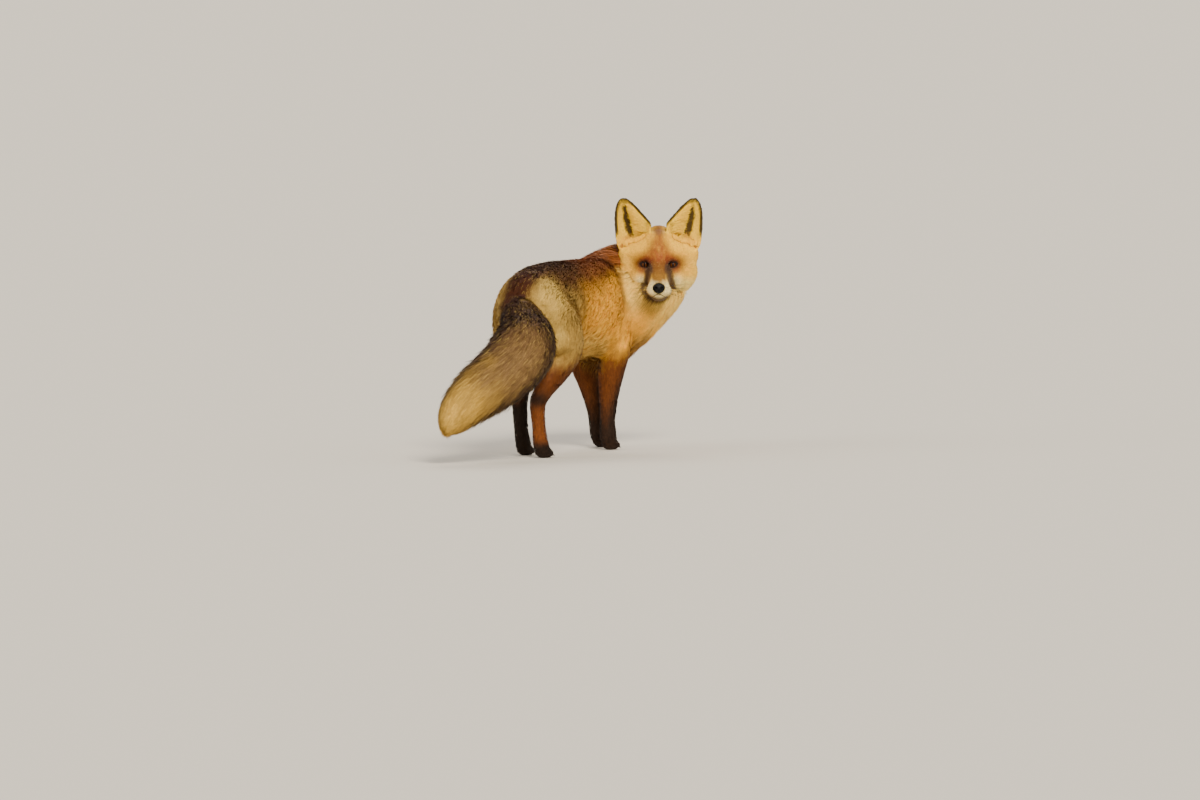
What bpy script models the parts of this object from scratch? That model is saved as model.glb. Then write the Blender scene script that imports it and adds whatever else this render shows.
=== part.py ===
"""A life-size red fox in winter coat that stands and looks back over its right shoulder.

The body heads along +X, +Y is the fox's left and +Z is up; lengths are metres. The solids
carry the outline of the coat. The body and the head are modelled as two whole forms, out of
lofted tubes and balls that a voxel remesh makes one, and are then parted by thin cuts.
"""

import math

import bmesh
import bpy
import numpy as np
from mathutils import Matrix, Vector

GAP = 0.0004  # clear space between neighbouring pieces
BODY_VOXEL = 0.0038
HEAD_VOXEL = 0.0026
BODY_SOFTNESS = 8  # rounds of smoothing after the remesh
HEAD_SOFTNESS = 9
SMOOTHING = 0.6  # strength of each round
BODY_FACES = 2750
HEAD_FACES = 1300
TUBE_SIDES = 28
TUBE_STEPS = 4  # rings between two stations

# The head looks back: its own frame has x towards the nose, y to the fox's left, z up.
HEAD_PLACE = Vector((0.194, -0.119, 0.371))  # midway between the eyes
HEAD_TURN = math.radians(-155)
EYE_CENTRE = Vector((0.0010, 0.0277, 0.0000))  # of the left eye, in the head's frame
EYE_RADIUS = 0.0095
LIDS_CENTRE = Vector((0.0150, 0.0300, 0.0005))  # of the hollow in the coat in front of it
LIDS_RADII = (0.0112, 0.0130, 0.0088)
NOSE_CENTRE = Vector((0.0835, 0.0, -0.0430))
NOSE_RADII = (0.0088, 0.0118, 0.0098)

# Stations along the body: x, y, z of the centre, half width, half height.
TRUNK = [
    (-0.260, -0.010, 0.303, 0.026, 0.028),
    (-0.242, -0.008, 0.294, 0.044, 0.048),
    (-0.205, -0.005, 0.290, 0.062, 0.070),
    (-0.145, -0.001, 0.295, 0.072, 0.085),
    (-0.070, 0.002, 0.299, 0.073, 0.088),
    (0.000, 0.003, 0.296, 0.074, 0.091),
    (0.070, 0.002, 0.289, 0.077, 0.098),
    (0.125, 0.002, 0.281, 0.077, 0.107),
    (0.170, 0.004, 0.278, 0.068, 0.103),
    (0.205, 0.004, 0.280, 0.054, 0.084),
    (0.226, 0.002, 0.286, 0.036, 0.058),
]
NECK = [
    (0.100, 0.002, 0.298, 0.066, 0.082),
    (0.150, 0.008, 0.303, 0.063, 0.086),
    (0.188, 0.008, 0.312, 0.060, 0.085),
    (0.219, -0.004, 0.324, 0.059, 0.082),
    (0.238, -0.027, 0.338, 0.059, 0.078),
    (0.243, -0.052, 0.349, 0.058, 0.070),
    (0.236, -0.078, 0.356, 0.050, 0.058),
]
TAIL = [
    (-0.225, -0.008, 0.298, 0.026, 0.026),
    (-0.257, -0.026, 0.284, 0.041, 0.041),
    (-0.291, -0.052, 0.248, 0.060, 0.060),
    (-0.326, -0.062, 0.222, 0.068, 0.068),
    (-0.366, -0.053, 0.190, 0.066, 0.066),
    (-0.409, -0.028, 0.156, 0.060, 0.060),
    (-0.446, -0.004, 0.127, 0.051, 0.051),
    (-0.475, 0.010, 0.101, 0.041, 0.041),
    (-0.497, 0.016, 0.078, 0.026, 0.026),
    (-0.506, 0.018, 0.064, 0.008, 0.008),
]
# The long fur of the throat and the chest, from under the head down between the forelegs.
BIB = [
    (0.222, -0.108, 0.372, 0.030, 0.030),
    (0.228, -0.103, 0.338, 0.064, 0.060),
    (0.218, -0.068, 0.299, 0.070, 0.066),
    (0.207, -0.038, 0.253, 0.064, 0.060),
    (0.198, -0.021, 0.220, 0.052, 0.052),
    (0.184, -0.012, 0.186, 0.038, 0.040),
    (0.172, -0.008, 0.166, 0.020, 0.022),
]

# Stations down the legs: x, y, z of the centre, half depth fore and aft, half width.
HIND_LEG = [
    (-0.150, 0.020, 0.330, 0.050, 0.040),
    (-0.142, 0.040, 0.290, 0.064, 0.044),
    (-0.122, 0.053, 0.250, 0.067, 0.040),
    (-0.103, 0.055, 0.214, 0.050, 0.033),
    (-0.124, 0.048, 0.174, 0.035, 0.025),
    (-0.158, 0.040, 0.140, 0.024, 0.0190),
    (-0.180, 0.034, 0.113, 0.0200, 0.0170),
    (-0.181, 0.035, 0.085, 0.0158, 0.0150),
    (-0.176, 0.037, 0.050, 0.0152, 0.0148),
    (-0.170, 0.038, 0.026, 0.0175, 0.0165),
    (-0.162, 0.039, 0.012, 0.0155, 0.0145),
]
FORE_LEG = [
    (0.165, 0.030, 0.300, 0.050, 0.040),
    (0.156, 0.044, 0.255, 0.050, 0.036),
    (0.141, 0.048, 0.212, 0.044, 0.033),
    (0.141, 0.044, 0.170, 0.0330, 0.0290),
    (0.145, 0.038, 0.125, 0.0235, 0.0225),
    (0.148, 0.034, 0.085, 0.0185, 0.0180),
    (0.149, 0.033, 0.055, 0.0165, 0.0165),
    (0.153, 0.033, 0.026, 0.0185, 0.0180),
    (0.160, 0.033, 0.012, 0.0160, 0.0150),
]
# Where each foot stands: its leg's stations shift so far at the ground, and less further up.
STRIDE = {
    "hind_left": (0.054, -0.004),
    "hind_right": (-0.020, 0.000),
    "fore_left": (0.070, -0.008),
    "fore_right": (-0.016, 0.000),
}
HIP_HEIGHT = 0.30  # above it a stride shifts nothing
STRIDE_CURVE = 0.7  # below 1, the shift comes mostly near the hip

# Each paw is measured from the last station of its leg, and its toes point a little outwards.
PAW_AIM = math.radians(4)
PAD_BEHIND = 0.001
PAD_HEIGHT = 0.0105
PAD_RADII = (0.020, 0.0165, 0.0125)
TOES = [(0.010, -0.0125), (0.0185, -0.0045), (0.0185, 0.0045), (0.010, 0.0125)]  # ahead, across
TOE_HEIGHT = 0.0082
TOE_RADII = (0.0130, 0.0064, 0.0092)

# Stations of the head, in its frame: x, top z, bottom z, half width.
SKULL = [
    (-0.090, 0.020, -0.030, 0.030),
    (-0.079, 0.045, -0.055, 0.056),
    (-0.060, 0.065, -0.072, 0.072),
    (-0.040, 0.070, -0.078, 0.076),
    (-0.024, 0.065, -0.076, 0.064),
    (-0.011, 0.053, -0.071, 0.048),
    (0.000, 0.039, -0.067, 0.0350),
    (0.010, 0.026, -0.065, 0.0270),
    (0.025, 0.010, -0.063, 0.0230),
    (0.040, -0.002, -0.063, 0.0215),
    (0.057, -0.013, -0.062, 0.0205),
    (0.074, -0.024, -0.060, 0.0190),
    (0.087, -0.031, -0.055, 0.0130),
]
# Balls of the head, in its frame: centre on the left side, radii. All are mirrored.
HEAD_BALLS = {
    "cheek": ((-0.042, 0.044, -0.012), (0.032, 0.035, 0.044)),
    "ear_root": ((-0.052, 0.047, 0.020), (0.028, 0.035, 0.037)),
    "crown": ((-0.056, 0.000, 0.038), (0.032, 0.042, 0.040)),
    "cheekbone": ((-0.014, 0.030, -0.026), (0.030, 0.025, 0.031)),
    "brow": ((-0.004, 0.019, 0.017), (0.014, 0.014, 0.010)),
    "whisker_pad": ((0.066, 0.0120, -0.049), (0.020, 0.0150, 0.0125)),
    "chin": ((0.056, 0.0020, -0.063), (0.022, 0.0130, 0.0080)),
}
# Stations up the left ear, in the head's frame: z, y of the middle, half width, hollow's depth.
EAR = [
    (0.026, 0.052, 0.020, 0.012),
    (0.042, 0.053, 0.028, 0.018),
    (0.062, 0.052, 0.0335, 0.021),
    (0.083, 0.052, 0.0350, 0.019),
    (0.102, 0.0605, 0.0265, 0.012),
    (0.118, 0.0668, 0.0170, 0.0065),
    (0.127, 0.0694, 0.0090, 0.0030),
    (0.1305, 0.0702, 0.0030, 0.0010),
]
EAR_FRONT = -0.034  # x of the middle of the ear's front edges
EAR_TURN = 0.28  # how far the ear opens outward, as x per y
EAR_THICKNESS = 0.0034
EAR_COLUMNS = 7
EAR_STEPS = 2

# Thin sheets that part the body: a point, the way the sheet faces, half length, half width.
SHEETS = [
    ((0.176, -0.006, 0.300), (0.90, -0.10, 0.43), 0.135, 0.150),
    ((-0.260, -0.024, 0.283), (-0.85, -0.20, -0.48), 0.060, 0.060),
    ((-0.366, -0.053, 0.190), (-0.66, 0.32, -0.53), 0.090, 0.090),
    ((-0.446, -0.004, 0.127), (-0.66, 0.40, -0.53), 0.075, 0.075),
]
# Arched sheets between trunk and leg: height, place across, half length, half width, slope, arch.
ARCHES = {
    "hind": (0.252, 0.058, 0.110, 0.060, 0.85, 4.5),
    "fore": (0.208, 0.054, 0.088, 0.056, 1.00, 12.0),
}
ARCH_RINGS = 15
# Thin sheets across a leg: height, the way the sheet faces, half length, half width.
LEG_SHEETS = {
    "hind": [(0.190, (0.25, 0, 1), 0.085, 0.044), (0.108, (0.15, 0, 1), 0.034, 0.030)],
    "fore": [(0.146, (0, 0, 1), 0.045, 0.034), (0.055, (0, 0, 1), 0.030, 0.028)],
}
# Roughly the middle of each piece of the body, and the height of the middle of each leg's pieces.
LANDMARKS = {
    "trunk": (0.0, 0.0, 0.295),
    "neck": (0.230, -0.030, 0.310),
    "tail_root": (-0.320, -0.058, 0.226),
    "tail_middle": (-0.405, -0.030, 0.158),
    "tail_tip": (-0.470, 0.005, 0.105),
}
LEG_LANDMARKS = {
    "hind": {"thigh": 0.230, "shank": 0.150, "hind_foot": 0.040},
    "fore": {"upper_arm": 0.180, "forearm": 0.100, "fore_foot": 0.025},
}
POINT_STEPS = 12  # rings between two stations where a leg's middle is looked up

# Each colour is linear RGB.
RED = (0.42, 0.17, 0.045)
GOLD = (0.50, 0.27, 0.085)
GRIZZLE = (0.24, 0.15, 0.080)
BLACK = (0.022, 0.016, 0.012)
COLOURS = {
    "trunk": GOLD,
    "neck": GOLD,
    "head": (0.60, 0.33, 0.110),
    "ear_left": (0.55, 0.42, 0.22),
    "ear_right": (0.55, 0.42, 0.22),
    "eye_left": (0.075, 0.028, 0.010),
    "eye_right": (0.075, 0.028, 0.010),
    "nose": (0.010, 0.009, 0.009),
    "tail_root": GRIZZLE,
    "tail_middle": GRIZZLE,
    "tail_tip": (0.62, 0.47, 0.26),
    "thigh_left": GRIZZLE,
    "thigh_right": GRIZZLE,
    "shank_left": RED,
    "shank_right": RED,
    "hind_foot_left": BLACK,
    "hind_foot_right": BLACK,
    "upper_arm_left": GOLD,
    "upper_arm_right": GOLD,
    "forearm_left": RED,
    "forearm_right": RED,
    "fore_foot_left": BLACK,
    "fore_foot_right": BLACK,
}


def clear_scene():
    for obj in list(bpy.data.objects):
        bpy.data.objects.remove(obj)


def collection(name):
    made = bpy.data.collections.new(name)
    bpy.context.scene.collection.children.link(made)
    return made


def add_object(name, mesh, home):
    obj = bpy.data.objects.new(name, mesh)
    home.objects.link(obj)
    return obj


def material(name, colour):
    """Dull fur or hide, except the wet eyes and nose."""
    made = bpy.data.materials.new(name)
    made.use_nodes = True
    shader = made.node_tree.nodes["Principled BSDF"]
    shader.inputs["Base Color"].default_value = (*colour, 1.0)
    shader.inputs["Roughness"].default_value = 0.25 if name.startswith(("eye", "nose")) else 0.85
    shader.inputs["Metallic"].default_value = 0.0
    return made


def smooth_rows(rows, steps):
    """Catmull-Rom interpolation of every column of a table of stations."""
    rows = np.array(rows, float)
    padded = np.vstack([2 * rows[0] - rows[1], rows, 2 * rows[-1] - rows[-2]])
    made = []
    for i in range(1, len(padded) - 2):
        before, start, end, after = padded[i - 1 : i + 3]
        for t in np.arange(steps) / steps:
            slope = (end - before) * t
            bend = (2 * before - 5 * start + 4 * end - after) * t**2
            twist = (3 * start - before - 3 * end + after) * t**3
            made.append(start + 0.5 * (slope + bend + twist))
    made.append(rows[-1])
    return np.array(made)


def loft(bm, rings):
    """Skins closed rings of points into one closed tube with flat ends."""
    loops = [[bm.verts.new(p) for p in ring] for ring in rings]
    for near, far in zip(loops, loops[1:]):
        for i in range(len(near)):
            j = (i + 1) % len(near)
            bm.faces.new((near[i], near[j], far[j], far[i]))
    bm.faces.new(loops[0][::-1])
    bm.faces.new(loops[-1])


def tube(bm, stations, upright):
    """A tube of elliptical rings square to its path; half heights point along upright."""
    rows = smooth_rows(stations, TUBE_STEPS)
    along = np.gradient(rows[:, :3], axis=0)
    turns = np.arange(TUBE_SIDES) * 2 * math.pi / TUBE_SIDES
    rings = []
    for row, tangent in zip(rows, along):
        forward = Vector(tangent).normalized()
        across = Vector(upright).cross(forward).normalized()
        up = forward.cross(across)
        centre = Vector(row[:3])
        rings.append(
            [centre + across * math.cos(a) * row[3] + up * math.sin(a) * row[4] for a in turns]
        )
    loft(bm, rings)


def ball(bm, centre, radii, turn=Matrix.Identity(4), fineness=1):
    """An ellipsoid with its radii along the axes of turn."""
    place = Matrix.Translation(centre) @ turn @ Matrix.Diagonal((*radii, 1.0))
    bmesh.ops.create_uvsphere(
        bm, u_segments=14 * fineness, v_segments=8 * fineness, radius=1.0, matrix=place
    )


def mesh_of(name, fill, *details):
    """A mesh made by the function fill, which gets an empty bmesh."""
    bm = bmesh.new()
    fill(bm, *details)
    bmesh.ops.recalc_face_normals(bm, faces=bm.faces)
    mesh = bpy.data.meshes.new(name)
    bm.to_mesh(mesh)
    bm.free()
    return mesh


def evaluated(obj):
    """The object's mesh with its modifiers applied."""
    bpy.context.view_layer.update()
    graph = bpy.context.evaluated_depsgraph_get()
    return bpy.data.meshes.new_from_object(obj.evaluated_get(graph))


def one_form(name, fill, voxel, softness, faces, helpers):
    """Melts the overlapping shapes of fill into one closed form of about so many triangles."""
    rough = add_object(name + "_rough", mesh_of(name, fill), helpers)
    remesh = rough.modifiers.new("Melt", "REMESH")
    remesh.mode = "VOXEL"
    remesh.voxel_size = voxel
    smooth = rough.modifiers.new("Soften", "SMOOTH")
    smooth.factor = SMOOTHING
    smooth.iterations = softness
    fine = add_object(name + "_fine", evaluated(rough), helpers)
    fine.data.calc_loop_triangles()
    thin = fine.modifiers.new("Thin", "DECIMATE")
    thin.ratio = faces / len(fine.data.loop_triangles)
    done = evaluated(fine)
    for helper in (rough, fine):
        bpy.data.objects.remove(helper)
    return done


def swollen(mesh, helpers, growth=GAP):
    """The mesh grown a little, so that what it cuts out of another stays clear of it."""
    obj = add_object("swollen", mesh.copy(), helpers)
    grow = obj.modifiers.new("Grow", "DISPLACE")
    grow.strength = growth
    grow.mid_level = 0.0
    grown = evaluated(obj)
    bpy.data.objects.remove(obj)
    return grown


def cut_away(mesh, cutters, helpers, solver="EXACT"):
    """The mesh less every cutter mesh."""
    obj = add_object("cut", mesh, helpers)
    tools = [add_object("cutter", cutter, helpers) for cutter in cutters]
    for tool in tools:
        cut = obj.modifiers.new("Cut", "BOOLEAN")
        cut.operation = "DIFFERENCE"
        cut.solver = solver
        cut.object = tool
    result = evaluated(obj)
    for helper in [obj, *tools]:
        bpy.data.objects.remove(helper)
    return result


def leg(stations, side, stride):
    """Shifts a leg's stations towards where its foot stands, more the nearer the ground."""
    made = []
    for x, y, z, depth, width in stations:
        share = max(0.0, 1.0 - z / HIP_HEIGHT) ** STRIDE_CURVE
        made.append((x + stride[0] * share, (y + stride[1] * share) * side, z, width, depth))
    return made


def leg_table():
    """Every leg's name with its stations."""
    return {
        "hind_left": leg(HIND_LEG, 1, STRIDE["hind_left"]),
        "hind_right": leg(HIND_LEG, -1, STRIDE["hind_right"]),
        "fore_left": leg(FORE_LEG, 1, STRIDE["fore_left"]),
        "fore_right": leg(FORE_LEG, -1, STRIDE["fore_right"]),
    }


def paw(bm, stations, side):
    """A pad and four toes in front of the last station of a leg."""
    x, y = stations[-1][:2]
    aim = Matrix.Rotation(PAW_AIM * side, 4, "Z")
    ball(bm, Vector((x - PAD_BEHIND, y, PAD_HEIGHT)), PAD_RADII, aim, 2)
    for ahead, across in TOES:
        spot = aim @ Vector((ahead, across, 0.0))
        ball(bm, Vector((x + spot.x, y + spot.y, TOE_HEIGHT)), TOE_RADII, aim)


def fill_body(bm):
    for stations in (TRUNK, NECK, TAIL):
        tube(bm, stations, (0, 0, 1))
    tube(bm, BIB, (1, 0, 0))
    for name, stations in leg_table().items():
        tube(bm, stations, (1, 0, 0))
        paw(bm, stations, 1 if name.endswith("left") else -1)


def fill_head(bm):
    rows = [(x, 0.0, (top + low) / 2, half, (top - low) / 2) for x, top, low, half in SKULL]
    tube(bm, rows, (0, 0, 1))
    for centre, radii in HEAD_BALLS.values():
        for side in (1, -1):
            ball(bm, Vector((centre[0], centre[1] * side, centre[2])), radii, fineness=2)


def fill_ear(bm):
    """The front of the left ear: rows from its base to its tip, each hollow like a scoop."""
    rows = []
    for z, middle, half, depth in smooth_rows(EAR, EAR_STEPS):
        row = []
        for across in np.linspace(-1, 1, EAR_COLUMNS):
            x = EAR_FRONT - depth * (1 - across**2) - EAR_TURN * half * across
            row.append(bm.verts.new((x, middle + half * across, z)))
        rows.append(row)
    for low, high in zip(rows, rows[1:]):
        for i in range(EAR_COLUMNS - 1):
            bm.faces.new((low[i], low[i + 1], high[i + 1], high[i]))


def left_ear(helpers):
    """The ear's front thickened towards its back."""
    obj = add_object("ear", mesh_of("ear", fill_ear), helpers)
    back = obj.modifiers.new("Back", "SOLIDIFY")
    back.thickness = EAR_THICKNESS
    back.offset = -1.0 if obj.data.polygons[0].normal.x > 0 else 1.0
    made = evaluated(obj)
    bpy.data.objects.remove(obj)
    return made


def opposite(mesh):
    """The mesh on the other side of the head."""
    made = mesh.copy()
    made.transform(Matrix.Diagonal((1, -1, 1, 1)))
    made.flip_normals()
    return made


def head_pieces(helpers):
    """Meshes of the head and what is set in it, by name, in the head's frame."""
    whole = one_form("head", fill_head, HEAD_VOXEL, HEAD_SOFTNESS, HEAD_FACES, helpers)
    eye = mesh_of("eye", ball, EYE_CENTRE, (EYE_RADIUS,) * 3)
    lids = mesh_of("lids", ball, LIDS_CENTRE, LIDS_RADII)
    nose = mesh_of("nose", ball, NOSE_CENTRE, NOSE_RADII)
    ear = left_ear(helpers)
    pieces = {"eye_left": eye, "eye_right": opposite(eye), "nose": nose}
    sockets = [lids, opposite(lids)]
    sockets += [swollen(piece, helpers) for piece in pieces.values()]
    for name, side in (("ear_left", ear), ("ear_right", opposite(ear))):
        pieces[name] = cut_away(side, [swollen(whole, helpers)], helpers)
    pieces["whole"] = whole.copy()
    pieces["head"] = cut_away(whole, sockets, helpers)
    return pieces


def thin_cut(centre, normal, half_length, half_width):
    """A sheet as thick as the gap, square to normal; its length lies as near +X as it can."""
    up = Vector(normal).normalized()
    along = Vector((1, 0, 0)) if abs(up.x) < 0.9 else Vector((0, 1, 0))
    along = (along - up * along.dot(up)).normalized()
    across = up.cross(along)
    turn = Matrix((along, across, up)).transposed().to_4x4()
    size = Matrix.Diagonal((2 * half_length, 2 * half_width, GAP, 1.0))
    bm = bmesh.new()
    bmesh.ops.create_cube(bm, size=1.0, matrix=Matrix.Translation(centre) @ turn @ size)
    mesh = bpy.data.meshes.new("sheet")
    bm.to_mesh(mesh)
    bm.free()
    return mesh


def arched_sheet(bm, top, half_length, half_width, slope, arch, side):
    """A thin sheet bent over like a roof along X, which rises away from the fox's middle."""
    rings = []
    for ahead in np.linspace(-half_length, half_length, ARCH_RINGS):
        ring = []
        for out, lift in ((-1, -GAP), (1, -GAP), (1, GAP), (-1, GAP)):
            height = top[2] - arch * ahead**2 + slope * out * half_width + lift
            ring.append(Vector((top[0] + ahead, side * (top[1] + out * half_width), height)))
        rings.append(ring)
    loft(bm, rings)


def leg_point(stations, height):
    """The middle of a leg at this height."""
    rows = smooth_rows(stations, POINT_STEPS)
    return Vector(rows[int(np.argmin(np.abs(rows[:, 2] - height))), :3])


def body_cuts():
    """The sheets that part the body into its pieces."""
    cuts = [thin_cut(Vector(point), *shape) for point, *shape in SHEETS]
    legs = leg_table()
    for side, name in ((1, "left"), (-1, "right")):
        for kind, (height, across, *shape) in ARCHES.items():
            top = (leg_point(legs[f"{kind}_{name}"], height).x, across, height)
            cuts.append(mesh_of("arch", arched_sheet, top, *shape, side))
        for kind, sheets in LEG_SHEETS.items():
            for height, *shape in sheets:
                cuts.append(thin_cut(leg_point(legs[f"{kind}_{name}"], height), *shape))
    return cuts


def landmarks():
    """Roughly the middle of each piece of the body."""
    marks = {piece: Vector(place) for piece, place in LANDMARKS.items()}
    for leg_name, stations in leg_table().items():
        kind, side = leg_name.split("_")
        for piece, height in LEG_LANDMARKS[kind].items():
            marks[f"{piece}_{side}"] = leg_point(stations, height)
    return marks


def loose_parts(mesh):
    """The mesh's separate bodies, each as a mesh of its own."""
    bm = bmesh.new()
    bm.from_mesh(mesh)
    left = set(bm.verts)
    made = []
    while left:
        found = {left.pop()}
        edge_of_search = list(found)
        while edge_of_search:
            vert = edge_of_search.pop()
            for edge in vert.link_edges:
                other = edge.other_vert(vert)
                if other not in found:
                    found.add(other)
                    edge_of_search.append(other)
        left -= found
        part = bm.copy()
        part.verts.ensure_lookup_table()
        outside = [part.verts[v.index] for v in bm.verts if v not in found]
        bmesh.ops.delete(part, geom=outside, context="VERTS")
        piece = bpy.data.meshes.new("piece")
        part.to_mesh(piece)
        part.free()
        made.append(piece)
    bm.free()
    return made


def middle(mesh):
    """The mean of the middle points of the faces, weighed by their areas."""
    total = Vector()
    weight = 0.0
    for face in mesh.polygons:
        total += face.center * face.area
        weight += face.area
    return total / weight


def body_pieces(head, helpers):
    """Meshes of the body's pieces by name; soles are flat at the floor."""
    whole = one_form("body", fill_body, BODY_VOXEL, BODY_SOFTNESS, BODY_FACES, helpers)
    floor = mesh_of("floor", bmesh.ops.create_cube)
    floor.transform(Matrix.Translation((0, 0, -1)) @ Matrix.Scale(2, 4))
    whole = cut_away(whole, [floor, swollen(head, helpers, 1.6 * GAP)], helpers)
    # EXACT loses pieces here, so many sheets cross the form.
    parted = cut_away(whole, body_cuts(), helpers, "MANIFOLD")
    marks = landmarks()
    pieces = {}
    for part in loose_parts(parted):
        name = min(marks, key=lambda mark: (marks[mark] - middle(part)).length)
        pieces[name] = part
    return pieces


def main():
    clear_scene()
    fox = collection("red_fox")
    helpers = collection("helpers")
    pieces = head_pieces(helpers)
    place = Matrix.Translation(HEAD_PLACE) @ Matrix.Rotation(HEAD_TURN, 4, "Z")
    for mesh in pieces.values():
        mesh.transform(place)
    pieces.update(body_pieces(pieces.pop("whole"), helpers))
    bpy.data.collections.remove(helpers)

    points = np.array([v.co for mesh in pieces.values() for v in mesh.vertices])
    centre = (points.min(axis=0) + points.max(axis=0)) / 2
    to_origin = Matrix.Translation((-centre[0], -centre[1], 0.0))
    for name, mesh in pieces.items():
        mesh.transform(to_origin)
        mesh.name = name
        mesh.materials.append(material(name, COLOURS[name]))
        add_object(name, mesh, fox)


main()
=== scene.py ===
# A life-size red fox in winter coat that stands and looks back over its right shoulder.
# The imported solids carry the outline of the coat. Here a skin lies inside them, and blades of fur
# grow from that skin to the outline. The body heads along +X, +Y is the fox's left, +Z is up.
import math

import bmesh
import bpy
import numpy as np
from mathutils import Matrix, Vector


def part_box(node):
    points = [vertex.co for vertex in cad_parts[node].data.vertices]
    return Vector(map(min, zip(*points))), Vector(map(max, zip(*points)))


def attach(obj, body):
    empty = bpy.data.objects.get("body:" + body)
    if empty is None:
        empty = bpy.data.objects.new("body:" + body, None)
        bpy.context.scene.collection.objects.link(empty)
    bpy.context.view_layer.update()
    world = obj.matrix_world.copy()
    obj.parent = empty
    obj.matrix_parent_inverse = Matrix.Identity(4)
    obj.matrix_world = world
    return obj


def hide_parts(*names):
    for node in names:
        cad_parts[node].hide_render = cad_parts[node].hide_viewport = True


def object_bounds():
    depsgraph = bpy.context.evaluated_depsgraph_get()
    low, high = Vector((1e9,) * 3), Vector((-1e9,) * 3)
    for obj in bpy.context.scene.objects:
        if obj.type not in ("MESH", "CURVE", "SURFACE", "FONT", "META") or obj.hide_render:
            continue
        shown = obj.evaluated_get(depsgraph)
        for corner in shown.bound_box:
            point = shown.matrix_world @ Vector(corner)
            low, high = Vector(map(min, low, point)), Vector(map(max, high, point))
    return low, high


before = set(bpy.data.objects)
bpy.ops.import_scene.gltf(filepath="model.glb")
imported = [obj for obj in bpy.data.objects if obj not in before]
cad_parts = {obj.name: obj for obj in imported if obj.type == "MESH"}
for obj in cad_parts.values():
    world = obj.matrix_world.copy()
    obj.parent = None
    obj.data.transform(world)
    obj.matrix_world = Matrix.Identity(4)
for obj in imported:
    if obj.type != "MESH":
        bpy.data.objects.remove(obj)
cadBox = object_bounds()
print("frame loaded:", len(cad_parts), "solids")


def ramp(low, high, value):  # 0 before low, 1 past high, an s-curve between; low may be the larger
    share = np.clip((value - low) / (high - low), 0.0, 1.0)
    return share * share * (3.0 - 2.0 * share)


def unit(rows):  # each row divided by its length
    return rows / np.maximum(np.linalg.norm(rows, axis=-1, keepdims=True), 1e-9)


def dots(one, other):  # row by row dot product, kept as a column
    return (one * other).sum(-1, keepdims=True)


colourPlan = {
    "greys": (0.04, 0.4),  # what counts as dark and as pale, in linear light
    "push": (1.06, 1.33),  # how far from their own grey dark and pale colours are painted
    "floor": (0.14, 0.06),  # the least that a channel keeps of that grey
}


def tone(red, green, blue):  # a screen colour, 0 to 255, as linear light, moved away from its own grey
    value = np.array([red, green, blue]) / 255.0
    light = np.where(value <= 0.04045, value / 12.92, ((value + 0.055) / 1.055) ** 2.4)
    grey = light @ np.array([0.2126, 0.7152, 0.0722])
    push, floor = (np.interp(grey, colourPlan["greys"], colourPlan[name]) for name in ("push", "floor"))
    return np.maximum(grey + (light - grey) * push, grey * floor)


def mix(under, over, share):  # under where share is 0, over where it is 1
    share = np.asarray(share)[..., None]
    return under * (1.0 - share) + over * share


def bell(*shares):  # 1 where all shares are 0, falling by exp(-square) along each
    return np.exp(-sum(share ** 2 for share in shares))


def ripples(points, size, seed):  # soft noise from -1 to 1: six sine waves of about that size, summed
    rng = np.random.default_rng(seed)
    waves = unit(rng.normal(size=(6, 3))) * (2 * math.pi / size) * rng.uniform(0.7, 1.5, (6, 1))
    return np.sin(points @ waves.T + rng.uniform(0, 2 * math.pi, 6)).sum(-1) / 3.2


def blob(points, centre, radii):  # 1 at the centre of an ellipsoid, falling softly to 0 past its surface
    return np.exp(-0.5 * (((points - centre) / radii) ** 2).sum(-1) * 2.0)


# The head's own frame has its first axis towards the nose, the second to the fox's left, the third up.
# Both it and the body's plan are drawn from the point between the forefeet and hind feet.
headPlan = {"middle": (0.194, -0.119, 0.371), "turn": -155.0, "eye": (0.001, 0.0277, 0.0)}
headTurn = math.radians(headPlan["turn"])
headAxes = np.array([
    [math.cos(headTurn), math.sin(headTurn), 0.0],
    [-math.sin(headTurn), math.cos(headTurn), 0.0],
    [0.0, 0.0, 1.0],
])
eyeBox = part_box("eye_left")
headMiddle = np.array((eyeBox[0] + eyeBox[1]) / 2) - np.array(headPlan["eye"]) @ headAxes
shift = headMiddle - np.array(headPlan["middle"])  # from the plan to the frame


def toHead(points):  # each place measured from the head's middle, along the head's axes
    return (points - headMiddle) @ headAxes.T


def fromHead(points):  # the head's middle plus the axes times each place
    return headMiddle + np.asarray(points, float) @ headAxes


def pulled(items, name, width=1, kind=np.float32):  # one property of all items, as an array of rows
    values = np.empty(len(items) * width, kind)
    items.foreach_get(name, values)
    return values.reshape(-1, width) if width > 1 else values


def facesMesh(name, points, faces, smooth=True):  # a mesh from arrays of points and equal faces
    mesh = bpy.data.meshes.new(name)
    sides = faces.shape[1]
    mesh.vertices.add(len(points))
    mesh.vertices.foreach_set("co", np.ascontiguousarray(points, np.float32).ravel())
    mesh.loops.add(faces.size)
    mesh.loops.foreach_set("vertex_index", np.ascontiguousarray(faces, np.int32).ravel())
    mesh.polygons.add(len(faces))
    mesh.polygons.foreach_set("loop_start", np.arange(0, faces.size, sides, dtype=np.int32))
    mesh.polygons.foreach_set("use_smooth", np.full(len(faces), smooth))
    mesh.update(calc_edges=True)
    return mesh


def paint(mesh, tones):  # one colour for each vertex, kept as an attribute
    layer = mesh.color_attributes.new("coatTone", "FLOAT_COLOR", "POINT")
    rows = np.ones((len(tones), 4), np.float32)
    rows[:, :3] = np.clip(tones, 0.0, 1.0)
    layer.data.foreach_set("color", rows.ravel())


def addPiece(name, mesh, material=None):  # an object of the scene with its material
    piece = bpy.data.objects.new(name, mesh)
    bpy.context.scene.collection.objects.link(piece)
    if material:
        mesh.materials.append(material)
    return piece


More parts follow.
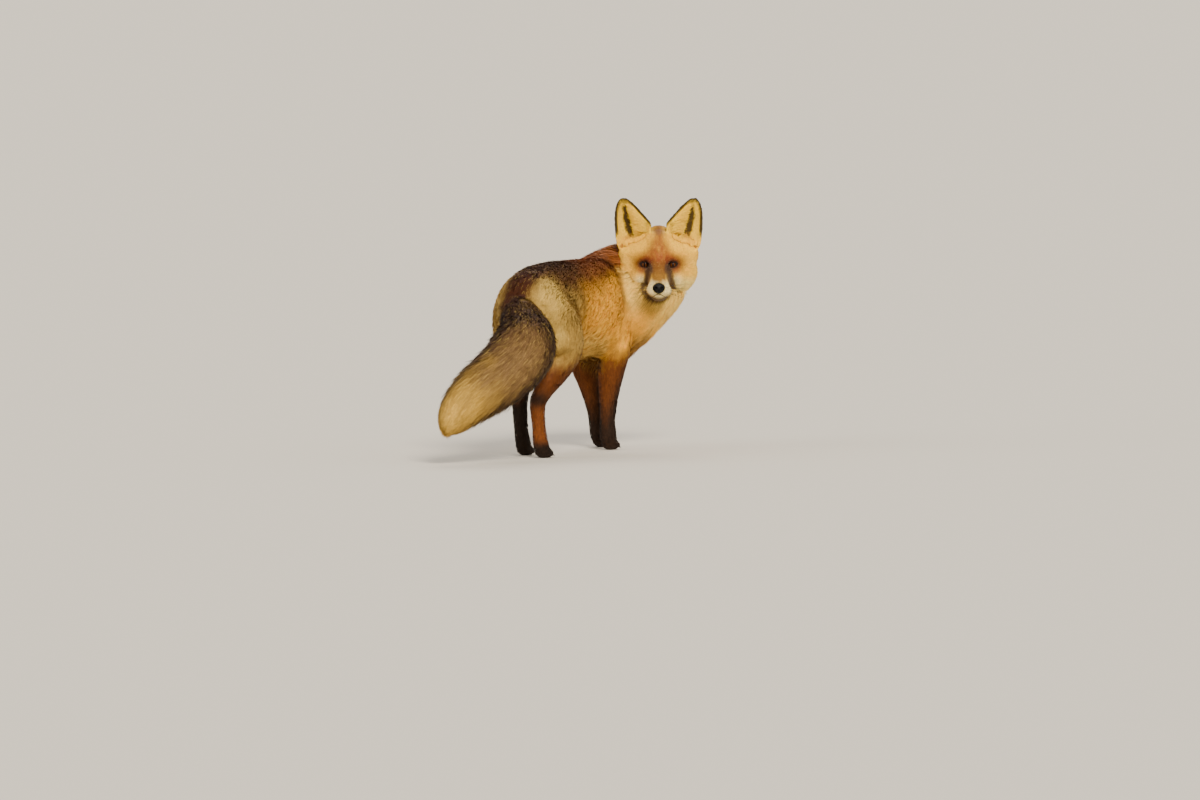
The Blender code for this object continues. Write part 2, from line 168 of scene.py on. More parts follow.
def gridFaces(rows, columns, closed=False):
    # quads of a grid stored row by row; closed joins its last column to its first
    across = columns if closed else columns - 1
    r, c = np.meshgrid(np.arange(rows - 1), np.arange(across), indexing="ij")
    after = (c + 1) % columns
    quads = (r * columns + c, r * columns + after, (r + 1) * columns + after, (r + 1) * columns + c)
    return np.stack(quads, -1).reshape(-1, 4)


def nodeMaterial(name, settings):  # a material whose shader has these values on its sockets
    material = bpy.data.materials.new(name)
    material.use_nodes = True
    shader = material.node_tree.nodes["Principled BSDF"]
    for socket, value in settings.items():
        shader.inputs[socket].default_value = value
    return material, material.node_tree, shader


def addNode(tree, kind, **values):  # a node with its sockets set by name, underscores read as spaces
    node = tree.nodes.new("ShaderNode" + kind)
    for socket, value in values.items():
        node.inputs[socket.replace("_", " ")].default_value = value
    return node


def mottled(name, settings, grain, spread, bump=0.0, bumpGrain=900.0):
    # the painted colour times a noise from 1 - spread to 1 + spread, with a fine bump
    material, tree, shader = nodeMaterial(name, settings)
    place = addNode(tree, "TexCoord")
    paintNode = addNode(tree, "Attribute")
    paintNode.attribute_name = "coatTone"
    noise = addNode(tree, "TexNoise", Scale=grain, Detail=3.0)
    limits = addNode(tree, "MapRange", From_Min=0.3, From_Max=0.7, To_Min=1.0 - spread, To_Max=1.0 + spread)
    scaled = addNode(tree, "VectorMath")
    scaled.operation = "SCALE"
    wires = [(place, "Object", noise, "Vector"), (noise, "Fac", limits, "Value"),
             (paintNode, "Color", scaled, "Vector"), (limits, "Result", scaled, "Scale"),
             (scaled, "Vector", shader, "Base Color")]
    if bump:
        grains = addNode(tree, "TexNoise", Scale=bumpGrain, Detail=4.0)
        relief = addNode(tree, "Bump", Strength=bump, Distance=0.0006)
        wires += [(place, "Object", grains, "Vector"), (grains, "Fac", relief, "Height"),
                  (relief, "Normal", shader, "Normal")]
    for source, output, target, socket in wires:
        tree.links.new(source.outputs[output], target.inputs[socket])
    return material


finishes = {  # the shader's settings, the mottling's grain and spread, and the bump and its grain
    "foxFur": ({"Roughness": 0.65, "Specular IOR Level": 0.12, "Sheen Weight": 0.03,
                "Sheen Roughness": 0.5}, 260.0, 0.14),
    "foxHide": ({"Roughness": 0.8, "Specular IOR Level": 0.2}, 420.0, 0.25, 0.8, 1400.0),
    "lipSkin": ({"Roughness": 0.6, "Specular IOR Level": 0.25}, 500.0, 0.2, 0.5, 1600.0),
    "noseLeather": ({"Roughness": 0.45, "Specular IOR Level": 0.16}, 700.0, 0.25, 0.7, 1500.0),
    "eyeball": ({"Roughness": 0.35, "Specular IOR Level": 0.02, "Coat Weight": 0.15, "Coat Roughness": 0.03,
                 "Coat IOR": 1.4}, 900.0, 0.08),
    "clawHorn": ({"Roughness": 0.35, "Specular IOR Level": 0.5}, 600.0, 0.2),
    "whiskerHair": ({"Roughness": 0.4}, 400.0, 0.1),
}
materials = {name: mottled(name, *finish) for name, finish in finishes.items()}


def foxPiece(name, points, faces, tones, finish):  # a painted mesh that rides on the fox's one body
    mesh = facesMesh(name, points, faces)
    paint(mesh, tones)
    piece = addPiece(name, mesh, materials[finish])
    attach(piece, "root")
    return piece


def joinedPiece(name, lots, finish):  # lots of points, faces and tones put together in one piece
    points, faces, tones = zip(*lots)
    starts = np.cumsum([0] + [len(lot) for lot in points])
    faces = [lot + start for lot, start in zip(faces, starts)]
    return foxPiece(name, np.concatenate(points), np.concatenate(faces), np.concatenate(tones), finish)


print("materials made")

# guides: curves inside the body that the hair follows. Each station is x, y and z of the plan,
# the coat's depth there and the length of its hair, all in millimetres
guideStations = {
    "back": [
        (236, -78, 356, 18, 34), (243, -52, 349, 23, 38), (238, -27, 338, 25, 42),
        (219, -4, 324, 25, 44), (188, 8, 312, 24, 42), (130, 4, 300, 22, 40), (50, 3, 296, 21, 38),
        (-50, 2, 299, 21, 38), (-145, -1, 297, 22, 38), (-205, -5, 296, 20, 36),
        (-240, -14, 294, 16, 34)],
    "bib": [
        (222, -108, 372, 22, 38), (228, -103, 338, 29, 44), (218, -68, 299, 30, 46),
        (207, -38, 253, 28, 44), (198, -21, 220, 24, 40), (184, -12, 186, 15, 30),
        (172, -8, 166, 8, 20)],
    "tail": [
        (-225, -8, 298, 14, 32), (-257, -26, 284, 22, 42), (-291, -52, 248, 35, 52),
        (-326, -62, 222, 41, 58), (-366, -53, 190, 40, 58), (-409, -28, 156, 36, 58),
        (-446, -4, 127, 30, 56), (-475, 10, 101, 24, 50), (-497, 16, 78, 14, 44), (-506, 18, 64, 5, 34)],
    "hind": [
        (-150, 20, 330, 18, 34), (-150, 40, 290, 17, 33), (-140, 53, 250, 15, 30),
        (-125, 55, 214, 11, 24), (-130, 48, 174, 7.5, 17), (-158, 40, 140, 5, 12),
        (-180, 34, 113, 4, 10), (-181, 35, 85, 3, 8.5), (-176, 37, 50, 2.8, 8),
        (-170, 38, 26, 2.8, 7.5), (-148, 39, 6, 2.2, 6)],
    "fore": [
        (165, 30, 300, 21, 38), (156, 44, 255, 17, 33), (141, 48, 212, 12, 25), (141, 44, 170, 7, 16),
        (145, 38, 125, 4.5, 11), (148, 34, 85, 3.3, 9), (149, 33, 55, 3, 8.5), (153, 33, 26, 2.8, 7.5),
        (174, 33, 6, 2.2, 6)],
}
strides = {  # where each foot stands: how far its leg's stations shift at the ground
    "hind_left": (0.054, -0.004),
    "hind_right": (-0.02, 0.0),
    "fore_left": (0.07, -0.008),
    "fore_right": (-0.016, 0.0),
}
hipHeight = 0.3  # where the legs' shift starts
sideSigns = {"left": 1.0, "right": -1.0}
drifts = {  # how the hair strays from its guide, before it is laid along the surface
    "back": (0.0, 0.0, -0.42),
    "bib": (-0.1, 0.0, -0.25),
    "tail": (0.0, 0.0, -0.05),
    "hind": (-0.45, 0.0, -0.2),
    "fore": (-0.3, 0.0, -0.1),
}
guideStep = 0.006
underHead = 7  # the part number of what the head covers


def curvePoints(stations, rounds, count=2, step=None):
    # straight runs between stations sampled at even distances, then evened out: each inner sample
    # becomes the mean of itself, counted twice, and its two neighbours
    rows = np.array(stations, float)
    reached = np.concatenate([[0.0], np.cumsum(np.linalg.norm(np.diff(rows[:, :3], axis=0), axis=1))])
    at = np.linspace(0.0, reached[-1], int(reached[-1] / step) + 2 if step else count)
    path = np.stack([np.interp(at, reached, row) for row in rows.T], 1)
    for _ in range(rounds):
        path[1:-1] = (path[:-2] + path[1:-1] * 2 + path[2:]) / 4
    return at, path


def guide(stations, drift):  # samples along straight runs between stations, with the way the curve heads
    at, sampled = curvePoints(stations, 3, step=guideStep)
    heading = unit(np.gradient(sampled[:, :3], axis=0)) + np.array(drift)
    return {"at": sampled[:, :3] + shift, "heading": heading, "depth": sampled[:, 3],
            "length": sampled[:, 4], "along": at / at[-1]}


def legStations(kind, side):  # the plan's left leg, mirrored for the right one and moved by its stride
    rows = np.array(guideStations[kind]) / 1000
    forward, outward = strides[f"{kind}_{side}"]
    share = np.clip(1.0 - rows[:, 2] / hipHeight, 0.0, 1.0) ** 0.7
    rows[:, 0] += forward * share
    rows[:, 1] = sideSigns[side] * rows[:, 1] + outward * share
    return rows


guides = {name: guide(np.array(guideStations[name]) / 1000, drifts[name])
          for name in ("back", "bib", "tail")}
for kind in ("hind", "fore"):
    for side in sideSigns:
        guides[f"{kind}_{side}"] = guide(legStations(kind, side), drifts[kind])

# which guides the hair of a solid follows, and the number of its part in the colouring
bodyParts = {"trunk": (0, ["back"]), "neck": (1, ["back", "bib"])}
for node in ("tail_root", "tail_middle", "tail_tip"):
    bodyParts[node] = (2, ["tail"])
for side, first in (("right", 3), ("left", 4)):
    for node in ("thigh", "shank", "hind_foot"):
        bodyParts[f"{node}_{side}"] = (first, [f"hind_{side}"])
    for node in ("upper_arm", "forearm", "fore_foot"):
        bodyParts[f"{node}_{side}"] = (first + 2, [f"fore_{side}"])


def nodeTriangles(node):  # corners of a solid's triangles, as an array
    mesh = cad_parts[node].data
    mesh.calc_loop_triangles()
    return pulled(mesh.vertices, "co", 3)[pulled(mesh.loop_triangles, "vertices", 3, np.int32)]


def mergedForm(name, nodes, plan, bend=None):
    # copies of solids, bent if need be and swollen until their gaps close, remeshed as one closed form
    # and smoothed
    shape = bmesh.new()
    for node in nodes:
        shape.from_mesh(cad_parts[node].data)
    bmesh.ops.remove_doubles(shape, verts=shape.verts, dist=0.00002)
    mesh = bpy.data.meshes.new(name)
    shape.to_mesh(mesh)
    shape.free()
    if bend:
        places = bend(pulled(mesh.vertices, "co", 3).astype(float))
        mesh.vertices.foreach_set("co", places.astype(np.float32).ravel())
    form = addPiece(name, mesh)
    for kind, settings in (("DISPLACE", {"mid_level": 0.0, "strength": plan["swell"]}),
                           ("REMESH", {"mode": "VOXEL", "voxel_size": plan["voxel"]}),
                           ("SMOOTH", {"factor": 0.5, "iterations": plan["smooth"]})):
        modifier = form.modifiers.new(kind, kind)
        for setting, value in settings.items():
            setattr(modifier, setting, value)
    result = bpy.data.meshes.new_from_object(form.evaluated_get(bpy.context.evaluated_depsgraph_get()))
    bpy.data.objects.remove(form)
    normals = pulled(result.vertices, "normal", 3).astype(float)
    made = {"outer": pulled(result.vertices, "co", 3).astype(float) - normals * plan["swell"] * 0.5,
            "normal": normals, "edges": pulled(result.edges, "vertices", 2, np.int32),
            "quads": pulled(result.loops, "vertex_index", 1, np.int32).reshape(-1, 4)}
    bpy.data.meshes.remove(result)
    return made


def evened(values, edges, rounds):  # each round gives a vertex the mean of itself and its neighbours
    flat = values.reshape(len(values), -1)
    share = np.bincount(edges.ravel(), minlength=len(flat)) + 1.0
    for _ in range(rounds):
        total = flat.copy()
        for column in range(flat.shape[1]):
            total[:, column] += np.bincount(edges[:, 0], flat[edges[:, 1], column], len(flat))
            total[:, column] += np.bincount(edges[:, 1], flat[edges[:, 0], column], len(flat))
        flat = total / share[:, None]
    return flat.reshape(values.shape)


def nearestOf(points, targets, chunk=1500):  # index of the nearest target, by squared distances in blocks
    found = np.empty(len(points), np.int64)
    squares = (targets ** 2).sum(1)
    for start in range(0, len(points), chunk):
        block = points[start:start + chunk]
        found[start:start + chunk] = np.argmin(squares - 2.0 * block @ targets.T, axis=1)
    return found


def finder(points, cell):
    # a lattice of cells that name a point near them: filled cells spread six times to their neighbours
    low = points.min(0) - 8 * cell
    size = np.ceil((points.max(0) + 8 * cell - low) / cell).astype(int) + 1
    table = np.full(size, -1, np.int32)
    spots = ((points - low) / cell).astype(int)
    table[tuple(spots.T)] = np.arange(len(points))
    for _ in range(6):
        for axis in range(3):
            for step in (1, -1):
                moved = np.roll(table, step, axis)
                table = np.where(table < 0, moved, table)

    def find(queries):  # what the cell of each query names, -1 where it names nothing
        cells = np.clip(((queries - low) / cell).astype(int), 0, np.array(size) - 1)
        return table[tuple(cells.T)]

    return find


def heightOver(field, points, near):  # how far points stand off the outline, measured at a near vertex
    return ((points - field["outer"][near]) * field["normal"][near]).sum(1)


def finishField(form, lie, depth, length, plan):
    # evens the fields out, lays the lie along the surface and moves the skin in by the coat's depth
    edges = form["edges"]
    normal = unit(evened(form["normal"], edges, 3))
    for _ in range(plan["evenRounds"] // 4):
        lie = evened(lie - normal * dots(lie, normal), edges, 4)
        lie = unit(lie - normal * dots(lie, normal))
    depth = evened(depth, edges, plan["evenRounds"]) * (1.0 - form.get("sole", 0.0))
    length = evened(length, edges, plan["evenRounds"])
    skin = form["outer"] - normal * depth[:, None]
    skin = evened(skin, edges, plan["skinRounds"])
    quads = form["quads"]
    tris = np.concatenate([quads[:, [0, 1, 2]], quads[:, [0, 2, 3]]])
    form.update(skin=skin, normal=normal, lie=lie, depth=depth, length=length, tris=tris,
                find=finder(form["outer"], plan["voxel"]))
    return form


bodyPlan = {"voxel": 0.0045, "swell": 0.0008, "smooth": 6, "evenRounds": 16, "skinRounds": 3,
            "reach": 0.028,  # how far a guide's samples are felt past the nearest one
            "underHead": 0.005,  # how much deeper the body's skin lies than the head's, inside the head
            "besideHead": 0.009}  # the depth of the neck's coat where it meets the head
headFormPlan = {"voxel": 0.0018, "swell": 0.0003, "smooth": 3, "evenRounds": 10, "skinRounds": 2,
                "headRounds": 5,
                "sink": 0.014}  # how far the crown dips before each ear, so that the hollow opens lower
faceHair = {  # by distance from the tip of the muzzle: the coat's depth and the length of its hair
    "muzzleTip": (0.088, 0.0, -0.04),
    "far": (0.0, 0.03, 0.06, 0.085, 0.11, 0.14, 0.18),
    "depth": (0.0014, 0.0016, 0.0022, 0.0034, 0.008, 0.014, 0.016),
    "length": (0.0034, 0.0048, 0.0068, 0.0095, 0.017, 0.027, 0.033),
}
earPlan = {
    "depth": 0.0007,
    "length": 0.0085,
    "up": (0.026, 0.042, 0.062, 0.083, 0.102, 0.118, 0.127, 0.1305),  # the ear's outline, seen from ahead
    "middle": (0.052, 0.053, 0.052, 0.052, 0.0605, 0.0668, 0.0694, 0.0702),
    "half": (0.02, 0.028, 0.0335, 0.035, 0.0265, 0.017, 0.009, 0.003),
    "rim": (0.0036, 0.0056),  # the dark edge: fully dark up to the first, gone at the second
    "hollow": ((0.0515, 0.05), (0.0672, 0.112)),  # the line down the middle of the dark hollow
}


def ownersOf(points, nodes):  # for each point the index of the solid whose surface is nearest
    centres, owners = [], []
    for index, node in enumerate(nodes):
        middles = nodeTriangles(node).mean(1)
        centres.append(middles)
        owners.append(np.full(len(middles), index))
    return np.concatenate(owners)[nearestOf(points, np.concatenate(centres).astype(float))]


def fromMuzzle(local):  # the way and the distance from the tip of the muzzle
    away = local - np.array(faceHair["muzzleTip"])
    return away, np.linalg.norm(away, axis=-1)


def faceCoat(far):  # the coat's depth and its hair's length at a distance from the tip of the muzzle
    return [np.interp(far, faceHair["far"], faceHair[name]) for name in ("depth", "length")]


def fromEarEdge(across, up):  # how far inside the ear's outline a point lies, seen from ahead
    middle, half = (np.interp(up, earPlan["up"], earPlan[name]) for name in ("middle", "half"))
    return half - np.abs(across - middle)


def dippedCrown(points):
    # the crown and the ear's foot sink by a smooth bump over across, up and ahead
    local = toHead(points)
    side = np.abs(local[:, 1])
    bump = ramp(0.01, 0.034, side) * ramp(0.096, 0.074, side)
    bump *= ramp(0.018, 0.05, local[:, 2]) * ramp(0.112, 0.066, local[:, 2])
    bump *= ramp(-0.085, -0.062, local[:, 0])
    local[:, 2] -= headFormPlan["sink"] * bump
    return fromHead(local)


def bodyField():
    # each vertex takes its part from the nearest solid, and its lie, depth and length from that part's
    # guides; the head is melted in too, so that the neck's coat runs up to it, but grows nothing here
    names = list(bodyParts)
    form = mergedForm("bodyForm", names + ["head"], bodyPlan, dippedCrown)
    owner = ownersOf(form["outer"], names + ["head"])
    away, far = fromMuzzle(toHead(form["outer"]))
    count = len(form["outer"])
    depth, length = faceCoat(far)
    rows = {"heading": unit(away) @ headAxes, "depth": depth + bodyPlan["underHead"], "length": length,
            "along": np.zeros(count)}
    part = np.full(count, underHead)
    for index, node in enumerate(names):
        mine = np.flatnonzero(owner == index)
        used = [guides[name] for name in bodyParts[node][1]]
        at = np.concatenate([one["at"] for one in used])
        gap = ((form["outer"][mine][:, None] - at[None]) ** 2).sum(-1)
        weight = np.exp(-(gap - gap.min(1, keepdims=True)) / bodyPlan["reach"] ** 2)
        weight /= weight.sum(1, keepdims=True)
        for key, row in rows.items():
            row[mine] = weight @ np.concatenate([one[key] for one in used])
        part[mine] = bodyParts[node][0]
    # the coat thins towards the head, so that no deep groove opens beside the cheeks
    near = nearestOf(form["outer"], form["outer"][part == underHead])
    gap = np.linalg.norm(form["outer"] - form["outer"][part == underHead][near], axis=1)
    depth, along = np.minimum(rows["depth"], bodyPlan["besideHead"] + 0.35 * gap), rows["along"]
    hold = 1.0 - 0.75 * ramp(0.86, 0.97, along) * (part == 2)  # the tail's last hairs run straight on
    sole = ramp(0.012, 0.006, form["outer"][:, 2]) * ramp(-0.2, -0.6, form["normal"][:, 2])
    form.update(part=part, along=along, hold=hold, sole=sole)  # the soles are bare and touch the ground
    return finishField(form, rows["heading"], depth, rows["length"], bodyPlan)


headLie = {
    "eye": (0.008, 0.029, 0.0),  # hair parts round this place on either side
    "eyeReach": 0.019,
    "depth": (0.6, 0.65),  # how much shallower the coat is on the crown, and round the eyes
    "length": (0.45, 0.5),  # how much shorter its hair
    "parting": 0.15,  # how far hair beside the eye leans away from it, at the least
    "climb": 0.25,  # how far the ears' hair leans outwards as it climbs
    "hang": 0.04,  # how far the cheeks' hair drops
}


def headField():
    # hair runs back from the tip of the muzzle, parts round the eyes and climbs the ears;
    # it is short on the face and the ears, long on the cheeks and the throat
    nodes = ["head", "eye_left", "eye_right", "ear_left", "ear_right"]
    form = mergedForm("headForm", nodes, headFormPlan, dippedCrown)
    ear = (ownersOf(form["outer"], nodes) >= 3).astype(float)
    rounded = evened(form["outer"], form["edges"], headFormPlan["headRounds"])
    form["outer"] = mix(rounded, form["outer"], evened(ear, form["edges"], 3))
    local = toHead(form["outer"])
    away, far = fromMuzzle(local)
    depth, length = faceCoat(far)
    side, sign = np.abs(local[:, 1]), np.sign(local[:, 1])
    high = ramp(0.0, 0.04, local[:, 2]) * ramp(-0.085, -0.06, local[:, 0])
    eye = np.stack([local[:, 0], side, local[:, 2]], 1) - headLie["eye"]
    nearEye = np.exp(-(eye ** 2).sum(1) / headLie["eyeReach"] ** 2)
    for row, (crown, beside) in ((depth, headLie["depth"]), (length, headLie["length"])):
        row *= (1.0 - crown * high) * (1.0 - beside * nearEye)
    away[:, 2] -= headLie["hang"] * ramp(0.04, 0.07, side) * ramp(0.02, -0.04, local[:, 2])
    lie = unit(away)
    outwards = unit(np.stack([np.zeros(len(eye)), eye[:, 1] * sign, eye[:, 2]], 1))
    lie = lie - outwards * np.minimum(dots(lie, outwards) - headLie["parting"], 0.0) * nearEye[:, None]
    climb = np.stack([np.zeros(len(local)), headLie["climb"] * sign, np.ones(len(local))], 1)
    lie = mix(lie, climb, ear)
    depth = np.where(ear > 0, earPlan["depth"], depth)
    length = np.where(ear > 0, earPlan["length"], length)
    form["ear"] = ramp(0.35, 0.65, evened(ear, form["edges"], 4))
    form["besideEar"] = evened(ear, form["edges"], 40)
    rim = ramp(0.004, -0.02, local[:, 2]) * ramp(0.045, 0.02, local[:, 0]) * ramp(0.03, 0.048, side)
    form["hold"] = 1.0 - 0.7 * rim  # the cheeks' lower hair hangs free
    return finishField(form, lie @ headAxes, depth, length, headFormPlan)


body = bodyField()
head = headField()
print("body field:", len(body["outer"]), "points, head field:", len(head["outer"]), "points")

coatTones = {
    "gold": tone(244, 192, 92),  # flank and shoulder
    "amber": tone(142, 82, 14),  # forehead and the side of the neck
    "faceGold": tone(246, 200, 104),
    "cream": tone(250, 228, 166),
    "white": tone(238, 220, 172),
    "rust": tone(106, 60, 20),
    "ember": tone(136, 58, 12),  # round the eyes
    "grizzle": tone(98, 60, 28),  # back and loin
    "withers": tone(146, 86, 32),
    "stripe": tone(70, 34, 12),  # down the middle of the rump
    "sable": tone(58, 36, 24),
    "dun": tone(176, 138, 80),  # rear flank
    "beige": tone(174, 144, 92),  # thigh
    "pale": tone(216, 188, 128),  # either side of the rump
    "tailGrey": tone(134, 106, 72),
    "tailBrown": tone(88, 60, 36),
    "tailTip": tone(198, 165, 106),
    "black": tone(40, 29, 21),
    # painted shadow of the muzzle under itself, with the black lips; the tear stripes take this tone too
    "chin": tone(80, 58, 42),
    "bridge": tone(116, 76, 34),
    "earCream": tone(236, 200, 112),
    "hollow": tone(44, 30, 22),
    "lid": tone(30, 19, 14),
    "copper": tone(150, 62, 22),  # a spot under each eye
}
coatTones["ruff"] = mix(coatTones["faceGold"], coatTones["cream"], 0.5)
tailWay = np.array([0.906, 0.4226, 0.0])  # level, square to the tail's two flat sides


def painted(base, layers):  # the base tones with each layer of tone and share mixed over those before it
    for name, share in layers:
        base = mix(base, coatTones[name], share)
    return base


def plainTone(name, points):  # one tone for all points
    return np.tile(coatTones[name], (len(points), 1))


def lineShare(flat, start, end):  # how far along the line from start to end points lie, and how far off
    start, run = np.array(start), np.array(end) - np.array(start)
    share = np.clip(((flat - start) @ run) / (run @ run), 0, 1)
    return share, np.linalg.norm(flat - start - share[:, None] * run, axis=1)


# how far back the crescent of painted muzzle shadow reaches on the fox's right and left
crescentBack = {"body": (-0.065, -0.04), "head": (-0.035, -0.01)}


def crescentShare(local, fine, kind):
    # a dark crescent under the muzzle, between two ovals seen from ahead: painted shadow cast by the
    # muzzle, with the black lips, fuller on the fox's right where the shadow falls
    ahead, across, up = local[..., 0], local[..., 1], local[..., 2]
    right, left = crescentBack[kind]
    back = right + (left - right) * ramp(-0.01, 0.015, across)
    outer = np.hypot((across + 0.003) / 0.035, (up + 0.044) / 0.0335)
    inner = np.hypot(across / 0.0262, (up + 0.04) / 0.0215)
    fuller = np.maximum(ramp(0.03, -0.012, across), ramp(-0.055, -0.064, up))
    crescent = ramp(1.08, 0.9, outer + 0.03 * fine) * ramp(0.98, 1.1, inner)
    crescent = crescent * ramp(-0.026, -0.038, up) * (0.35 + 0.65 * fuller)
    return crescent * ramp(back - 0.01, back + 0.01, ahead)


def bodyTones(points, normals, part, along):
    # each marking is a soft mask of the place on the body, laid over the one before it
    plan = points - shift
    x, y, z = plan.T
    ahead, across, up = toHead(points).T
    side, front = np.abs(y + 0.004), 0.4226 * x - 0.906 * y
    broad, fine = ripples(plan, 0.06, 3), ripples(plan, 0.02, 5)
    isTrunk, isTail, hind, fore = part == 0, part == 2, np.isin(part, (3, 4)), np.isin(part, (5, 6))
    offTail, hindTrunk, onNeck = ~isTail, hind | isTrunk, np.isin(part, (0, 1, underHead))
    upper = ramp(0.285, 0.35, z + 0.006 * broad) * ramp(-0.08, -0.02, x) * ramp(0.1, 0.075, front)
    limit = np.interp(x, (-0.16, -0.06, 0.02, 0.12, 0.2), (0.326, 0.34, 0.354, 0.36, 0.362))
    limit = limit + 0.006 * broad + 0.002 * fine
    saddle = ramp(limit - 0.024, limit + 0.018, z) * offTail * ramp(0.26, 0.2, x)
    spine = ramp(0.04, 0.012, side) * ramp(0.355, 0.375, z) * offTail
    # where the thigh's coat ends over the flank a soft dark line is painted: painted shade of the fur
    # crease between thigh and flank
    edge = np.interp(z, (0.18, 0.22, 0.273, 0.34), (-0.11, -0.085, -0.052, -0.061))
    line = bell((x - edge) / 0.0085) * ramp(0.17, 0.2, z) * ramp(0.345, 0.32, z)
    # the rump: pale patches beside a rust stripe that leads to the tail
    patch = blob(np.stack([x, side, z], 1), (-0.186, 0.052, 0.318), (0.033, 0.023, 0.042))
    patch = np.clip(patch * 2.0 * (1.0 + 0.25 * fine), 0, 1)
    behind = ramp(-0.2, -0.7, normals[:, 0]) * ramp(0.2, 0.24, z) * hind
    stripe = ramp(0.034, 0.018, side + 0.004 * fine) * ramp(-0.12, -0.17, x) * ramp(0.28, 0.3, z)
    # legs: rust above, black stockings below
    tilt = normals[:, 0] * 0.03
    hock = blob(plan, (-0.205, -0.036, 0.116), (0.02, 0.03, 0.013))
    stocking = np.maximum(ramp(-0.1, 0.35, normals[:, 0]) * ramp(0.14, 0.11, z), ramp(0.04, 0.022, z))
    stocking = np.maximum(stocking, np.clip(hock * 1.5, 0, 1) * 0.85)
    # the throat and chest pale towards the head's side
    bib = ramp(0.16, 0.225, front + 0.01 * broad) * ramp(0.385, 0.35, z)
    glow = ramp(0.09, 0.12, front) * ramp(0.19, 0.16, front) * ramp(0.302, 0.28, z)
    behindEars = ramp(0.012, 0.028, up) * ramp(-0.042, -0.054, ahead) * ramp(0.1, 0.085, np.abs(across))
    # the ruff under the cheek is as pale as the cheek, and a dark fold parts it from the neck: painted
    # shade under the cheek over darker hair
    fold = np.interp(up, (-0.11, -0.075, -0.045, -0.02, 0.01), (-0.058, -0.068, -0.074, -0.08, -0.098))
    near = ramp(-0.12, -0.075, up) * ramp(-0.15, -0.11, ahead) * onNeck
    ruff = ramp(fold - 0.003, fold + 0.009, across + 0.003 * fine) * near * ramp(0.004, -0.016, up)
    foldShadeAndHair = bell((across - fold) / 0.0045) * near * ramp(0.03, 0.0, up)
    coat = painted(plainTone("gold", plan), [
        ("cream", ramp(-0.35, -0.75, normals[:, 2]) * isTrunk * 0.5),
        ("dun", ramp(0.01, -0.045, x + 0.015 * broad) * 0.55 * offTail),
        ("beige", ramp(-0.035, -0.085, x + 0.012 * broad) * hindTrunk),
        ("amber", upper * offTail * 0.6),
        ("grizzle", saddle),
        ("withers", saddle * ramp(-0.05, 0.035, x) * 0.9),
        ("sable", spine * ramp(0.05, -0.02, x) * 0.5),
        # painted shade along the crease between thigh and flank
        ("grizzle", line * hindTrunk * 0.55),
        ("pale", patch * offTail * 0.9),
        ("pale", behind * 0.7),
        ("stripe", stripe * offTail),
        ("sable", stripe * offTail * ramp(-0.4, 0.6, fine) * 0.45),
        ("rust", hind * ramp(0.215, 0.165, z + 0.01 * fine)),
        ("rust", fore * ramp(0.225, 0.175, z + 0.01 * fine)),
        # darker low on the chest between the forelegs: brown hair, and painted shade under the chest
        ("rust", isTrunk * ramp(0.24, 0.205, z) * ramp(0.06, 0.1, x) * 0.7),
        ("black", fore * ramp(0.195, 0.095, z - tilt * 2.2 + 0.008 * fine) * 0.95),
        # the far hind leg black all round low down: its black stocking, and painted shade of the tail over
        # it
        ("black", (part == 4) * ramp(0.165, 0.12, z - tilt + 0.006 * fine)),
        ("amber", (part == 3) * ramp(0.125, 0.1, z) * 0.4),
        ("black", (part == 3) * stocking),
        ("cream", bib * onNeck * 0.62),
        ("amber", glow * onNeck * 0.25),
        ("withers", behindEars * onNeck * 0.75),
        ("ruff", ruff * 0.85),
        # painted shade in the fold under the cheek, over darker hair
        ("rust", foldShadeAndHair * 0.6),
        # painted shadow of the muzzle, with the black lips, on the neck's hair under the head
        ("chin", crescentShare(toHead(points), fine, "body") * onNeck * 0.9),
    ])
    # the tail: brown above, darker along both edges and over its root, cream at the tip
    edges = ramp(0.74, 0.36, np.abs(normals @ tailWay) + 0.1 * fine) * ramp(1.0, 0.86, along)
    nearRump = ramp(-0.305, -0.275, x)
    tail = painted(plainTone("tailGrey", plan), [
        ("tailBrown", ramp(0.46, 0.16, along + 0.05 * fine) * 0.85),
        ("tailBrown", ramp(0.1, 0.9, normals[:, 2] + 0.3 * fine) * 0.5),
        ("sable", edges * 0.92),
        ("sable", bell((along - 0.15 + 0.01 * fine) / 0.032) * 0.9),
        ("stripe", ramp(0.288, 0.3, z + 0.003 * fine) * nearRump * 0.9),
        ("sable", bell((z - 0.2855 + 0.002 * fine) / 0.0065) * nearRump * 0.9),
        ("tailTip", ramp(0.58, 0.88, along + 0.06 * broad) * (1.0 - 0.7 * edges)),
        ("tailBrown", ramp(0.2, 0.9, fine + 0.5 * ripples(plan, 0.011, 11)) * 0.35),
    ])
    return np.where(isTail[:, None], tail, coat)


